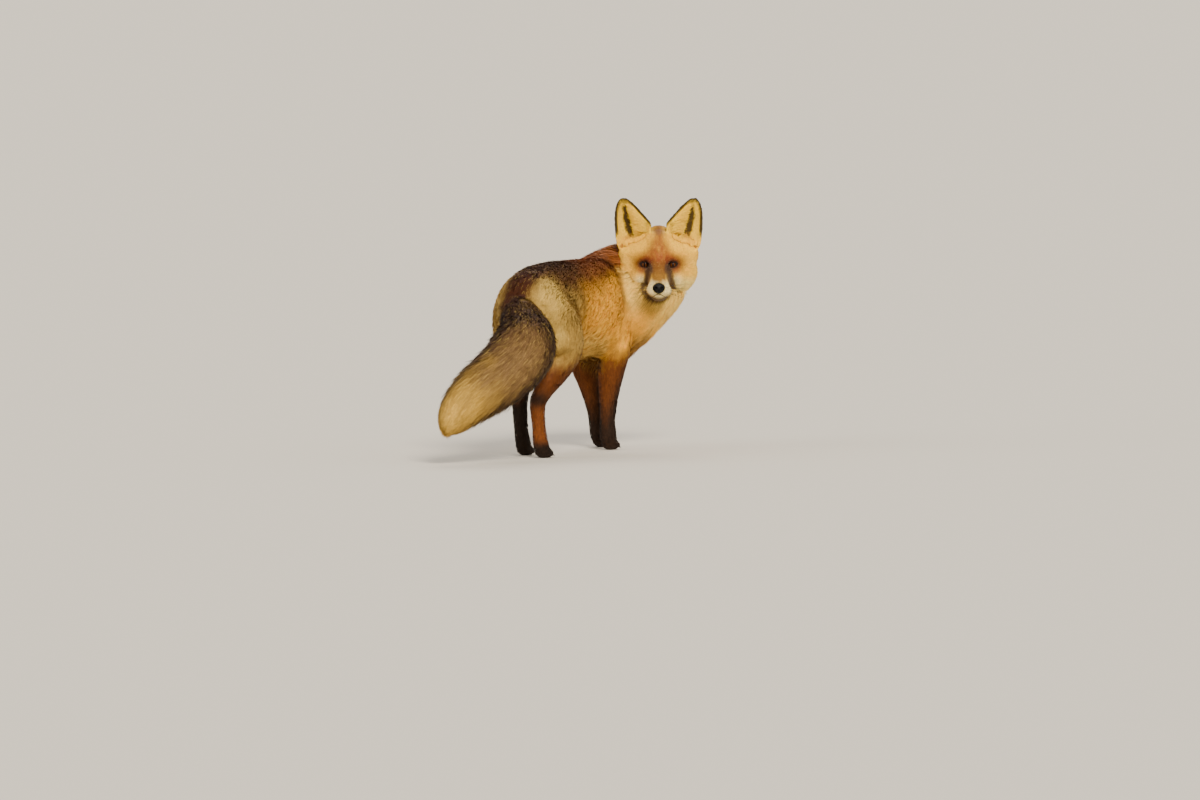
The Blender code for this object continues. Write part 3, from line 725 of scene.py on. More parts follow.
def headTones(local, normals):
    # masks over the face seen from ahead: local[:, 1] is across, local[:, 2] is up
    ahead, across, up = local.T
    side, fine = np.abs(across), ripples(local, 0.012, 7)
    away = ramp(0.0, -0.4, normals @ headAxes[0])
    nape = np.maximum(ramp(-0.045, -0.07, ahead) * ramp(-0.03, 0.02, up + 0.004 * fine),
                      away * ramp(0.01, 0.03, up) * ramp(-0.02, -0.04, ahead))
    nape = np.maximum(nape, ramp(-0.05, -0.056, ahead) * ramp(0.02, 0.032, up))
    # the forehead: an amber wedge that narrows to a rust spot between the ears
    width = np.interp(up, (-0.01, 0.012, 0.03, 0.05, 0.072), (0.022, 0.036, 0.026, 0.016, 0.008))
    brow = ramp(width + 0.01, width - 0.012, side + 0.003 * fine) * ramp(-0.022, 0.0, up)
    spot = bell(side / 0.011, (up - 0.069) / 0.008)
    plain = painted(plainTone("faceGold", local), [
        ("cream", ramp(0.04, 0.066, side) * ramp(0.034, 0.0, up) * 0.15),
        ("cream", ramp(-0.018, -0.04, up) * ramp(0.02, 0.034, side) * 0.8),
        ("withers", nape * 0.75),
        ("amber", brow * ramp(-0.08, -0.05, ahead) * (0.88 + 0.12 * fine)),
        ("bridge", np.clip(spot * 1.5, 0, 1) * 0.7),
        ("rust", spot * 0.4),
    ])
    # round each eye a rust mask, darkest over and under the eye
    mask = np.maximum(bell((side - 0.0285) / 0.0245, (up - 0.003) / 0.018),
                      0.6 * bell(side / 0.016, (up - 0.01) / 0.014))
    under = bell((side - 0.037) / 0.008, (up + 0.0125) / 0.005)
    lash = bell((side - 0.028) / 0.0165, (up - 0.001) / 0.0108)
    flash = bell((side - 0.037) / 0.009, (up + 0.031) / 0.01)
    # the muzzle: a brown bridge, white round the nose and down its sides
    bridge = ramp(0.0175, 0.0115, side) * ramp(-0.004, 0.012, ahead) * ramp(0.02, -0.004, up)
    pad = ramp(-0.026, -0.042, up - 0.3 * side + 0.002 * fine) * ramp(0.026, 0.044, ahead)
    # dark stripes from the eyes down, and a dark crescent that joins them under the muzzle: painted shadow
    # of the muzzle with the black lips
    off = lineShare(np.stack([side, up], 1), (0.019, -0.004), (0.0285, -0.046))[1]
    tear = ramp(0.01, 0.0056, off + 0.001 * fine) * ramp(0.072, 0.06, ahead)
    face = painted(plain, [
        ("ember", np.clip(mask * 1.35 + 0.1 * fine * mask, 0, 1) * 0.9),
        ("copper", np.clip(under * 1.2, 0, 1) * 0.6),
        ("sable", np.clip(lash * 1.5, 0, 1) * 0.85),
        ("white", np.clip(flash * 1.2, 0, 1) * 0.85),
        ("bridge", bridge * 0.9),
        ("white", pad),
        ("chin", tear * 0.9),
        ("sable", ramp(0.0055, 0.0015, off) * tear * 0.6),
    ])
    coat = mix(plain, face, ramp(-0.04, -0.022, ahead))  # the markings don't reach the back of the head
    # over it the painted shadow of the muzzle, with the black lips
    return mix(coat, coatTones["chin"], crescentShare(local, fine, "head") * 0.92)


def earTones(local, normals):
    # a cream front with a dark hollow towards the outer edge, a dark rim and a black back
    across, up = np.abs(local[:, 1]), local[:, 2]
    fine, facing = ripples(local, 0.01, 9), normals @ headAxes[0]
    share, off = lineShare(np.stack([across, up], 1), *earPlan["hollow"])
    wide = np.interp(share, (0.0, 0.35, 0.7, 1.0), (0.006, 0.0105, 0.009, 0.0055))
    inside = np.minimum(fromEarEdge(across, up), (earPlan["up"][-1] - up) * 0.8)
    inner = across < np.interp(up, earPlan["up"], earPlan["middle"])
    inside = inside + 0.012 * np.where(inner, ramp(0.084, 0.07, up), ramp(0.064, 0.048, up))
    limit = np.interp(up, (0.055, 0.085), (-0.2, 0.3))  # low down, folds of the front face upwards
    return painted(plainTone("earCream", local), [
        ("faceGold", ramp(0.058, 0.036, up) * 0.8),
        ("withers", ramp(0.1, -0.2, facing) * ramp(0.074, 0.062, across) * 0.75),
        ("hollow", ramp(wide + 0.0014, wide - 0.0014, off + 0.0022 * fine) * 0.95),
        ("black", ramp(earPlan["rim"][1], earPlan["rim"][0], inside) * 0.95),
        ("black", ramp(limit, limit - 0.28, facing) * ramp(0.03, 0.05, up + 0.004 * fine)),
    ])


def fieldTones(kind, near, points):  # tones of points near a field's vertices, the ears' mixed in
    normals = fields[kind]["normal"][near]
    if kind == "body":
        return bodyTones(points, normals, body["part"][near], body["along"][near])
    local = toHead(points)
    return mix(headTones(local, normals), earTones(local, normals), head["ear"][near])


fields = {"body": body, "head": head}
hideShade = 0.92  # the skin is this much darker than the coat over it: the under-fur's colour, and painted shade in the gaps between blades

lidPlan = {
    "wide": 0.009,  # half width of the opening on the outer side
    "corner": 0.0034,  # how much further the inner corner reaches
    "tall": 0.0048,
    "tilt": 0.26,  # radians, inner corner down
    "inwards": 0.0008,  # how far the opening sits from the eye's middle towards the nose
    "ball": 0.0096,  # radius that the inner rim lies on
    "roll": 0.0013,  # thickness of the rim
    "rim": (0.87, 1.36),  # from where to where the lid goes, as shares of the opening
    "steps": 14,
    "spokes": 72,
}


def lidShape(side):
    # a ring over the eyeball: its edge is an almond, and it rises from the ball in a rounded rim
    share = np.linspace(0.0, 1.0, lidPlan["steps"])[:, None]
    turn = np.linspace(0.0, 2 * math.pi, lidPlan["spokes"], endpoint=False)[None]
    wide = lidPlan["wide"] + lidPlan["corner"] * np.clip(-np.cos(turn), 0, 1) ** 3
    tall = lidPlan["tall"] * (1.0 - 0.35 * np.abs(np.cos(turn)) ** 3)
    scale = lidPlan["rim"][0] + (lidPlan["rim"][1] - lidPlan["rim"][0]) * share
    across, up = wide * np.cos(turn) * scale, tall * np.sin(turn) * scale
    tilt = lidPlan["tilt"]
    across, up = (across * math.cos(tilt) - up * math.sin(tilt),
                  across * math.sin(tilt) + up * math.cos(tilt))
    brow = 1.0 + 0.5 * np.clip(np.sin(turn), 0, 1)
    radius = lidPlan["ball"] + lidPlan["roll"] * np.sin(math.pi * np.clip(share * 1.15, 0, 1)) ** 0.6 * brow
    ahead = np.sqrt(np.maximum(radius ** 2 - across ** 2 - up ** 2, (0.32 * radius) ** 2))
    middle = headPlan["eye"]
    across = (across + middle[1] - lidPlan["inwards"]) * sideSigns[side]
    local = np.stack([ahead + middle[0], across, up + middle[2]], -1).reshape(-1, 3)
    faces = gridFaces(lidPlan["steps"], lidPlan["spokes"], True)
    return fromHead(local), faces[:, ::-1] if side == "left" else faces


def hidePiece():
    # both skins and the eyelids in one mesh: the skins are coloured as the coat over them, a little darker
    # for painted shade in the gaps
    lots = []
    for kind, field in fields.items():
        every = np.arange(len(field["outer"]))
        lots.append((field["skin"], field["quads"], fieldTones(kind, every, field["outer"]) * hideShade))
    for side in sideSigns:
        rim, rimFaces = lidShape(side)
        lots.append((rim, rimFaces, plainTone("lid", rim)))
    piece = joinedPiece("hide", lots, "foxHide")
    flesh = [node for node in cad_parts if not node.startswith(("eye", "nose"))]
    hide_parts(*flesh)
    return piece


hide = hidePiece()
print("skin made:", 2 * len(hide.data.polygons), "triangles")


def unwrapped(points, tris):
    # corners of the triangles laid flat by the shape's own angles
    used, tight = np.unique(tris, return_inverse=True)
    mesh = facesMesh("flatSheet", points[used], tight.reshape(tris.shape))
    sheet = addPiece("flatSheet", mesh)
    bpy.ops.object.select_all(action="DESELECT")
    bpy.context.view_layer.objects.active = sheet
    sheet.select_set(True)
    bpy.ops.object.mode_set(mode="EDIT")
    bpy.ops.mesh.select_all(action="SELECT")
    bpy.ops.uv.smart_project(angle_limit=math.radians(66), island_margin=0.003)
    bpy.ops.object.mode_set(mode="OBJECT")
    flat = pulled(mesh.uv_layers.active.data, "uv", 2).reshape(-1, 3, 2).astype(float)
    bpy.data.objects.remove(sheet)
    bpy.data.meshes.remove(mesh)
    return flat


def bladeWalk(field, roots, lengths, turn, steps, cover=None):
    # from each root the blade walks along the lie in equal steps and is set back on the surface each time;
    # where a cover lies over that surface, the blade is lifted to the cover's outline
    at, walked, near = roots, [roots], field["find"](roots)
    cosTurn, sinTurn = np.cos(turn)[:, None], np.sin(turn)[:, None]
    nears = [near]
    low = roots[:, 2] < headMiddle[2] - 0.008  # only the cheeks and the throat hang over the neck
    for _ in range(steps):
        normal, lie = field["normal"][near], field["lie"][near]
        heading = unit(lie * cosTurn + np.cross(normal, lie) * sinTurn)
        at = at + heading * (lengths / steps)[:, None]
        found = field["find"](at)
        near = np.where(found >= 0, found, near)
        height = heightOver(field, at, near)[:, None]
        at = at - field["normal"][near] * height * field["hold"][near][:, None]
        if cover is not None:
            over = cover["find"](at)
            rise = np.where((over >= 0) & low, heightOver(cover, at, over), 0.0)
            at = at - cover["normal"][over] * np.clip(rise, -0.03, 0.0)[:, None]
        walked.append(at)
        nears.append(near)
    return np.stack(walked, 1), np.stack(nears, 1)


bladePlan = {  # a coat piece may set any of these its own way
    "steps": 3,  # bends of a blade
    "patch": 0.003,  # width of a blade's place on the OFBake map
    "soft": 0.75,  # how far a blade is lit as the coat around it, and not by its own slant
    "roll": 0.42,  # spread of how far blades turn about their length, radians
    "perLock": 14,  # blades that lean to one leader
    "guard": 0.75,  # share of blades that reach the outline; the rest stay under them
    "root": 0.84,  # shade at a blade's root
    "spread": 0.055,  # of brightness, from blade to blade
    "flyaway": 0.1,  # share of blades whose tips stand off the outline
    "stand": 1.0,  # how far they stand off, as a share of the usual
    "wisps": 0.0,  # how much longer every fourth blade is
    "width": 0.0012,
    "stray": 0.1,  # how far a blade strays from the lie, radians
    "lock": 0.25,  # how strongly blades gather in locks
    "grizzle": 0.0,  # how many tips are dark or banded pale
    "field": "body",
    "heights": (-1.0, 9.0),  # between which it grows; a limit of 9 cuts nothing off
    "along": (-1.0, 9.0),  # between which shares of the tail
    "far": (0.0, 9.0),  # between which distances from the muzzle's tip
    "ears": False,  # on the ears alone
    "chin": False,  # crossed by the dark crescent of painted muzzle shadow and black lips under the muzzle
    "reach": (0.75, 1.15),  # a blade's length, as a share of its field's
    "top": (0.86, 1.03),  # how high guard hairs rise in the coat
    "under": (0.55, 0.86),  # and the others
    "off": (0.03, 0.13),  # how far flyaway tips stand off, as a share of the coat's depth
    "sunk": 0.02,  # how far roots start under the skin, as a share of the coat's depth
    "fullness": 0.85,  # the smaller, the sooner a blade rises to its height
    "sway": 0.6,  # how far neighbours stray together, as a share of the stray of single blades
    "pull": (0.4, 1.2),  # how strongly single blades follow their leader, times the lock
    "thick": (0.65, 1.35),  # a blade's width, times the piece's width
    "marked": 0.36,  # the share of tips that are dark, and that are pale, where the grizzle is 1
}


def bladesPiece(name, paths, normals, widths, roll, tones, flatRoots):
    # a flat blade along each path: two points at each step, narrowing to one at the tip;
    # normals are the coat's
    count, rings = paths.shape[:2]
    steps = rings - 1
    heading = unit(np.gradient(paths, axis=1))
    across = unit(np.cross(heading, normals))
    lifted = np.cross(across, heading)
    turned = across * np.cos(roll)[:, None, None] + lifted * np.sin(roll)[:, None, None]
    share = np.linspace(0.0, 1.0, rings)
    outline = 0.5 * np.clip(1.12 - share ** 2.6, 0.0, 1.0) * np.clip(0.55 + 2.0 * share, 0.0, 1.0)
    spread = turned[:, :-1] * (widths[:, None] * outline[None, :-1])[..., None]
    pairs = np.stack([paths[:, :-1] - spread, paths[:, :-1] + spread], 2).reshape(count, steps * 2, 3)
    points = np.concatenate([pairs, paths[:, -1:]], 1)
    points[..., 2] = np.maximum(points[..., 2], 0.0006)
    own = [(2 * steps - 2, 2 * steps - 1, 2 * steps)]
    for a in range(2 * steps - 4, -2, -2):
        own = [(a, a + 1, a + 3), (a, a + 3, a + 2)] + own
    perBlade = 2 * steps + 1
    faces = (np.arange(count)[:, None, None] * perBlade + np.array(own)[None]).reshape(-1, 3)

    def perPoint(rows):  # a value of each step given to both of its points
        return np.concatenate([np.repeat(rows[:, :-1], 2, axis=1), rows[:, -1:]], 1).reshape(-1, 3)

    piece = foxPiece(name, points.reshape(-1, 3), faces, perPoint(tones), "foxFur")
    if flatRoots is not None:
        along = np.concatenate([np.repeat(share[:-1], 2), share[-1:]]) - 0.5
        beside = np.concatenate([np.tile([-0.5, 0.5], steps), [0.0]])
        patch = np.stack([beside, along], 1) * bladePlan["patch"]
        flat = np.clip(flatRoots[:, None] + patch[None], 0.001, 0.999).reshape(-1, 2)
        layer = piece.data.uv_layers.new(name="OFBake")
        layer.data.foreach_set("uv", flat[faces.ravel()].astype(np.float32).ravel())
    facing = np.cross(turned, heading)
    lit = unit(mix(facing, normals, np.full(count, bladePlan["soft"])[:, None]))
    piece.data.normals_split_custom_set_from_vertices(perPoint(lit).astype(np.float32))
    return piece


coatPieces = {  # which parts of the body or the head each covers, and its number of blades
    "coatTailRoot": {"parts": (2,), "along": (0.0, 0.5), "count": 25000, "width": 0.0014, "stray": 0.13,
                     "lock": 0.42, "grizzle": 0.45, "stand": 1.8},
    "coatTailTip": {"parts": (2,), "along": (0.5, 1.01), "count": 22000, "width": 0.0013, "stray": 0.13,
                    "lock": 0.65, "grizzle": 0.25, "flyaway": 0.35, "wisps": 0.5, "stand": 2.4},
    "coatBack": {"parts": (0,), "heights": (0.3, 9.0), "count": 32000, "stray": 0.09, "lock": 0.17,
                 "grizzle": 0.22},
    "coatFlanks": {"parts": (0,), "heights": (-1.0, 0.3), "count": 27000, "stray": 0.09,
                   "lock": 0.14, "grizzle": 0.03},
    "coatThighs": {"parts": (3, 4), "heights": (0.185, 9.0), "count": 23000, "grizzle": 0.08},
    "coatNeck": {"parts": (1,), "count": 32000, "stray": 0.08, "grizzle": 0.02, "chin": True},
    "coatShoulders": {"parts": (5, 6), "heights": (0.185, 9.0), "count": 15000, "lock": 0.22,
                      "grizzle": 0.04},
    "coatHindLegs": {"parts": (3, 4), "heights": (-1.0, 0.185), "count": 15000, "width": 0.0011,
                     "stray": 0.12, "lock": 0.15, "spread": 0.12},
    "coatForeLegs": {"parts": (5, 6), "heights": (-1.0, 0.185), "count": 15000, "width": 0.0011,
                     "stray": 0.12, "lock": 0.15, "spread": 0.12},
    "coatFace": {"field": "head", "far": (0.0, 0.105), "count": 36000, "width": 0.0008, "stray": 0.12,
                 "lock": 0.15, "grizzle": 0.08, "spread": 0.1},
    "coatCheeks": {"field": "head", "far": (0.105, 9.0), "count": 32000, "width": 0.001,
                   "grizzle": 0.06, "chin": True},
    "coatEars": {"field": "head", "ears": True, "count": 14000, "width": 0.0009, "stray": 0.16,
                 "lock": 0.15},
}
# where no fur grows
bareSkin = {
    "sole": (0.01, -0.15),  # below this height, where the surface faces down more than this
    "buried": 0.006,  # on the head, deeper inside the body than this
    "nose": 1.12,  # within this many times the nose's own size
    "groove": 0.0012,  # in the groove beside the head, less far off the head than this
}
eyeOpening = {"middle": (0.001, 0.027, 0.0), "wide": 0.0104, "tall": 0.0066, "back": -0.012}
noseSize = {"middle": (0.0835, 0.0, -0.043), "radii": (0.0088, 0.0118, 0.0098)}


def growsFur(plan, places):
    # false for the soles, for what lies inside the body or under the head, in the eye openings and
    # on the nose
    field = fields[plan["field"]]
    first = field["tris"][:, 0]
    low, facing = bareSkin["sole"]
    keep = ~((places[:, 2] < low) & (field["normal"][first, 2] < facing))
    if plan["field"] == "body":
        grows = np.isin(field["part"][first], plan["parts"])
        if plan["chin"]:  # the groove between head and neck is filled too, where it lies outside the head
            local, over = toHead(places), head["find"](places)
            grown = (over >= 0) & (heightOver(head, places, over) > bareSkin["groove"])
            grown &= (local[:, 0] < np.where(local[:, 2] < -0.008, 0.02, -0.05)) & (local[:, 2] < 0.024)
            grows |= grown & (field["part"][first] == underHead)
        for value, limits in ((places[:, 2], plan["heights"]), (field["along"][first], plan["along"])):
            keep &= (value >= limits[0]) & (value < limits[1])
        return keep & grows
    local = toHead(places)
    isEar = field["ear"][first] > 0.5
    under = body["find"](places)
    inside = heightOver(body, places, under) < -bareSkin["buried"]
    keep &= ~((under >= 0) & inside) & (isEar | (under >= 0))
    if plan["ears"]:
        return keep & isEar
    far = fromMuzzle(local)[1]
    keep &= ~isEar & (far >= plan["far"][0]) & (far < plan["far"][1])
    beside, up = np.abs(local[:, 1]) - eyeOpening["middle"][1], local[:, 2] - eyeOpening["middle"][2]
    inEye = np.hypot(beside / eyeOpening["wide"], (up - 0.2 * beside) / eyeOpening["tall"]) < 1.0
    keep &= ~(inEye & (local[:, 0] > eyeOpening["back"]))
    fromNose = np.linalg.norm((local - np.array(noseSize["middle"])) / np.array(noseSize["radii"]), axis=1)
    return keep & (fromNose > bareSkin["nose"])


def coatPiece(name, plan, seed):
    # blades rooted at random on the kept faces, more on larger ones
    rng, plan = np.random.default_rng(seed), {**bladePlan, **plan}
    field = fields[plan["field"]]
    corners = field["outer"][field["tris"]]
    keep = np.flatnonzero(growsFur(plan, corners.mean(1)))
    corners = corners[keep]
    area = np.linalg.norm(np.cross(corners[:, 1] - corners[:, 0], corners[:, 2] - corners[:, 0]), axis=1)
    count = plan["count"]
    chosen = rng.choice(len(keep), count, p=area / area.sum())
    weights = rng.dirichlet((1.0, 1.0, 1.0), count)
    roots = (corners[chosen] * weights[..., None]).sum(1)
    near = field["find"](roots)
    reach = field["length"][near] * rng.uniform(*plan["reach"], count)
    reach = reach * (1.0 + 0.1 * ripples(roots, 0.03, seed))
    reach *= 1.0 + plan["wisps"] * (rng.random(count) < 0.25)
    turn = plan["stray"] * (rng.normal(0.0, 1.0, count) + plan["sway"] * ripples(roots, 0.045, seed + 1))
    cover = body if plan["field"] == "head" else None
    walked, nears = bladeWalk(field, roots, reach, turn, bladePlan["steps"], cover)
    share = np.linspace(0.0, 1.0, bladePlan["steps"] + 1)
    # guard hairs reach the outline, the rest stay in the coat under them, and a few tips stand off
    isGuard = rng.random(count) < plan["guard"]
    top = np.where(isGuard, rng.uniform(*plan["top"], count), rng.uniform(*plan["under"], count))
    height = np.sin(0.5 * math.pi * share ** plan["fullness"])[None] * top[:, None]
    height[:, 0] = -plan["sunk"]
    fly = isGuard & (rng.random(count) < plan["flyaway"])
    height += plan["stand"] * (fly * rng.uniform(*plan["off"], count))[:, None] * share[None] ** 3
    depth, normals = field["depth"][nears], field["normal"][nears]
    paths = walked - normals * (depth * (1.0 - height))[..., None]
    # locks: blades lean to the path of the nearest leader
    leaders = rng.choice(count, max(count // plan["perLock"], 1), replace=False)
    follow = leaders[nearestOf(roots, roots[leaders])]
    pull = plan["lock"] * rng.uniform(*plan["pull"], count)[:, None] * share[None] ** 1.5
    paths = paths + (paths[follow] - paths) * pull[..., None]
    roll = np.clip(rng.normal(0.0, bladePlan["roll"], count), -1.1, 1.1)
    widths = plan["width"] * rng.uniform(*plan["thick"], count)
    # tones: darker at the root, the marking's colour along the blade, some tips dark and some banded pale
    atRoot = fieldTones(plan["field"], nears[:, 0], walked[:, 0])
    atTip = fieldTones(plan["field"], nears[:, -1], walked[:, -1])
    shade = np.interp(share, (0.0, 0.35, 0.7, 1.0), (plan["root"], 0.93, 1.0, 1.03))
    bright = rng.normal(1.0, plan["spread"], count) * (1.0 + 0.05 * ripples(roots, 0.012, seed + 2))
    tones = mix(atRoot[:, None], atTip[:, None], np.broadcast_to(share, (count, len(share))))
    tones = tones * shade[None, :, None] * bright[:, None, None]
    chance = rng.random(count)
    marked = plan["marked"] * plan["grizzle"]
    darkTip = (chance < marked)[:, None] * ramp(0.45, 0.9, share)[None]
    paleBand = (chance > 1.0 - marked)[:, None] * bell((share - 0.75) / 0.25)[None]
    tones = mix(tones, coatTones["sable"], darkTip * 0.5)
    tones = mix(tones, coatTones["pale"], paleBand * 0.4)
    if plan["chin"]:  # the crescent of painted muzzle shadow is short and these hairs are long, so each point of a blade is painted
        tones = mix(tones, coatTones["chin"] * 0.9, crescentShare(toHead(paths), 0.0, plan["field"]) * 0.95)
    flatRoots = None
    flat = unwrapped(field["skin"], field["tris"][keep])
    flatRoots = (flat[chosen] * weights[..., None]).sum(1)
    piece = bladesPiece(name, paths, normals, widths, roll, tones, flatRoots)
    print(name, count, "blades,", len(piece.data.polygons), "triangles")
    return piece


coats = [coatPiece(name, plan, 100 + 7 * index) for index, (name, plan) in enumerate(coatPieces.items())]
print("coat made:", sum(len(piece.data.polygons) for piece in coats), "triangles")

eyePlan = {
    "radius": 0.00945,
    "bulge": 0.055,  # how far the cornea stands out, as a share of the radius
    "cornea": 0.78,  # half angle of the cornea, radians
    "iris": 0.7,  # half angle of the iris
    "pupil": (0.0016, 0.0044),  # half width and half height of the slit
    "outward": 0.1,  # how far each eye looks to its own side, radians
    "grid": (72, 96),  # rings and spokes
}


def ballAngles(rings, spokes, power=1.0):
    # angles back from the pole, crowded towards it by the power, and angles round it
    lean = math.pi * np.linspace(0.0, 1.0, rings) ** power
    turn = np.linspace(0.0, 2 * math.pi, spokes, endpoint=False)
    return np.meshgrid(lean, turn, indexing="ij")


def eyePiece(side):
    # a ball whose radius grows to a dome in front; rings run back from the pole, spokes go round it
    sign = sideSigns[side]
    back, around = ballAngles(*eyePlan["grid"], 1.5)
    dome = np.clip(1.0 - (back / eyePlan["cornea"]) ** 2, 0.0, 1.0)
    radius = eyePlan["radius"] * (1.0 + eyePlan["bulge"] * dome)
    ahead, across, up = np.cos(back), np.sin(back) * np.cos(around), np.sin(back) * np.sin(around)
    swing = eyePlan["outward"] * sign
    points = np.stack([ahead * math.cos(swing) - across * math.sin(swing),
                       ahead * math.sin(swing) + across * math.cos(swing), up], -1) * radius[..., None]
    wide, tall = eyePlan["pupil"]
    slit = np.hypot(across * eyePlan["radius"] / wide, up * eyePlan["radius"] / tall)
    fibres = np.sin(around * 41 + 3 * np.sin(around * 7))
    fibres = 0.5 + 0.5 * fibres * np.clip(back / eyePlan["iris"], 0, 1)
    inner, outer = tone(88, 48, 18), tone(50, 28, 13)
    colour = mix(np.broadcast_to(inner, back.shape + (3,)), outer, ramp(0.3, 0.62, back) * 0.8)
    colour = mix(colour, outer * 0.6, fibres * 0.35)
    colour = mix(colour, tone(30, 18, 12), ramp(eyePlan["iris"] - 0.07, eyePlan["iris"], back))
    colour = mix(colour, tone(44, 30, 24), ramp(eyePlan["iris"] + 0.02, eyePlan["iris"] + 0.12, back))
    colour = mix(colour, np.array([0.004, 0.003, 0.003]), ramp(1.1, 0.92, slit))
    centre = np.array(headPlan["eye"]) * (1.0, sign, 1.0)
    piece = foxPiece(f"eyeball_{side}", fromHead(points.reshape(-1, 3) + centre),
                     gridFaces(*eyePlan["grid"], True), colour.reshape(-1, 3), "eyeball")
    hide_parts(f"eye_{side}")
    return piece


nosePlan = {
    "nostril": (0.0062, 0.0002, 0.0026, 0.0042),  # across, up, radius and depth
    "wing": (0.0094, -0.0026, 0.0017, 0.003),  # the slit at its outer side
    "groove": (0.0007, 0.0012),  # half width and depth of the groove under the nostrils
    "grid": (80, 112),
}


def nosePiece():
    # an ellipsoid, narrower below, with nostrils and a groove pressed into its front
    back, around = ballAngles(*nosePlan["grid"])
    radii = noseSize["radii"]
    ahead = np.sign(np.cos(back)) * np.abs(np.cos(back)) ** 0.85
    across, up = np.sin(back) * np.cos(around), np.sin(back) * np.sin(around)
    across = across * (1.0 + 0.12 * np.clip(up, -1, 0.4) + 0.04)
    points = np.stack([ahead * radii[0], across * radii[1], up * radii[2]], -1)
    front = ramp(0.0, 0.35, np.cos(back))
    beside, high = np.abs(points[..., 1]), points[..., 2]
    for name in ("nostril", "wing"):
        out, rise, radius, depth = nosePlan[name]
        pit = np.exp(-(((beside - out) ** 2 + (high - rise) ** 2) / radius ** 2) ** 1.5)
        points[..., 0] -= depth * pit * front
    width, depth = nosePlan["groove"]
    points[..., 0] -= depth * np.exp(-(points[..., 1] / width) ** 2) * ramp(0.001, -0.003, high) * front
    # the nostrils darker still: painted shade inside their hollows
    dark = np.exp(-(((beside - nosePlan["nostril"][0]) ** 2 + high ** 2) / 0.0026 ** 2)) * front
    local = points.reshape(-1, 3) + np.array(noseSize["middle"])
    tones = mix(np.broadcast_to(tone(12, 10, 10), dark.shape + (3,)), tone(4, 3, 3), dark * 0.9)
    piece = foxPiece("noseLeather", fromHead(local), gridFaces(*nosePlan["grid"], True),
                     tones.reshape(-1, 3), "noseLeather")
    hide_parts("nose")
    return piece


def tubeRows(path, radii, sides):  # rings round a path: each ring lies across the way the path goes
    heading = unit(np.gradient(path, axis=0))
    helper = np.where(np.abs(heading[:, 2:3]) < 0.9, np.array([0.0, 0.0, 1.0]), np.array([1.0, 0.0, 0.0]))
    one = unit(np.cross(heading, helper))
    other = np.cross(heading, one)
    turn = np.linspace(0.0, 2 * math.pi, sides, endpoint=False)
    spokes = one[:, None] * np.cos(turn)[None, :, None] + other[:, None] * np.sin(turn)[None, :, None]
    return path[:, None] + spokes * np.asarray(radii)[:, None, None]


lipPlan = {
    "path": [(0.088, 0.0, -0.0535), (0.087, 0.0, -0.0575), (0.083, 0.0065, -0.0595),
             (0.074, 0.013, -0.061), (0.06, 0.0185, -0.0615), (0.045, 0.0215, -0.0605),
             (0.032, 0.024, -0.059), (0.02, 0.027, -0.056)],
    "radius": 0.0008,
    "sunk": 0.0003,
    "samples": 40,
    "taper": ((0.0, 0.05, 0.8, 1.0), (0.3, 1.0, 1.0, 0.1)),  # share of the radius along the lip
}


def joinedTubes(name, tubes, colour, finish):  # tubes in one mesh, each given as rows of points round it
    lots = []
    for rows in tubes:
        points = rows.reshape(-1, 3)
        lots.append((points, gridFaces(*rows.shape[:2], True), np.broadcast_to(colour, points.shape)))
    return joinedPiece(name, lots, finish)


def lipsPiece():
    # the dark edge of the mouth, laid on the surface of the muzzle
    tubes = []
    for sign in (1.0, -1.0):
        path = curvePoints(lipPlan["path"], 6, lipPlan["samples"])[1] * np.array([1.0, sign, 1.0])
        world = fromHead(path)
        near = nearestOf(world, head["outer"])
        world = world - head["normal"][near] * (heightOver(head, world, near) + lipPlan["sunk"])[:, None]
        taper = np.interp(np.linspace(0, 1, lipPlan["samples"]), *lipPlan["taper"])
        tubes.append(tubeRows(world, lipPlan["radius"] * taper, 8))
    return joinedTubes("lips", tubes, tone(22, 17, 16), "lipSkin")


whiskerPlan = {
    "perSide": 16,
    "length": (0.022, 0.05),
    "thick": 0.00022,
    "rows": ((0.054, 0.076), (-0.04, -0.054)),  # where they grow: ahead and up, from and to
    "clear": 0.006,  # how far a tip may pass the widest place of the coat
}


def whiskersPiece():
    # tapered hairs that leave the muzzle sideways and sweep back along the cheeks
    rng = np.random.default_rng(31)
    tubes = []
    for sign in (1.0, -1.0):
        for index in range(whiskerPlan["perSide"]):
            rank, line = index % 4, index // 4
            ahead = np.interp(rank, (0, 3), whiskerPlan["rows"][0]) + rng.normal(0, 0.001)
            up = np.interp(line, (0, 3), whiskerPlan["rows"][1]) + rng.normal(0, 0.0007)
            root = fromHead([ahead, 0.022 * sign, up])[None]
            near = nearestOf(root, head["outer"])
            root = head["outer"][near[0]] - head["normal"][near[0]] * 0.001
            reach = np.interp(rank, (0, 3), whiskerPlan["length"][::-1]) * rng.uniform(0.85, 1.1)
            share = np.linspace(0.0, 1.0, 9)[:, None]
            out = unit(np.array([[-0.6 + 0.12 * rank, sign * 0.85, 0.16 - 0.13 * line]]))
            local = (out * share + np.array([-0.3, 0.0, -0.12]) * share ** 2) * reach
            path = root + local @ headAxes
            over = (cadBox[0][1] - whiskerPlan["clear"] - root[1]) / min(path[-1, 1] - root[1], -1e-6)
            path = root + (path - root) * min(over, 1.0)
            radii = whiskerPlan["thick"] * (1.0 - 0.85 * share[:, 0])
            tubes.append(tubeRows(path, radii, 4))
    return joinedTubes("whiskers", tubes, tone(30, 22, 18), "whiskerHair")


clawPlan = {
    "length": 0.0085,
    "thick": 0.0013,
    "hind": (-0.162, 0.039, 0.012),  # the plan's point that the left foot's claws are set out from
    "fore": (0.16, 0.033, 0.012),
    "across": (-0.0125, -0.0045, 0.0045, 0.0125),
    "ahead": (0.0215, 0.03, 0.03, 0.0215),
    "toes": 4,  # degrees that a foot points outwards
    "sunk": 0.0035,  # how far a claw starts inside its toe
    "height": 0.006,
    "drop": 0.0046,
}


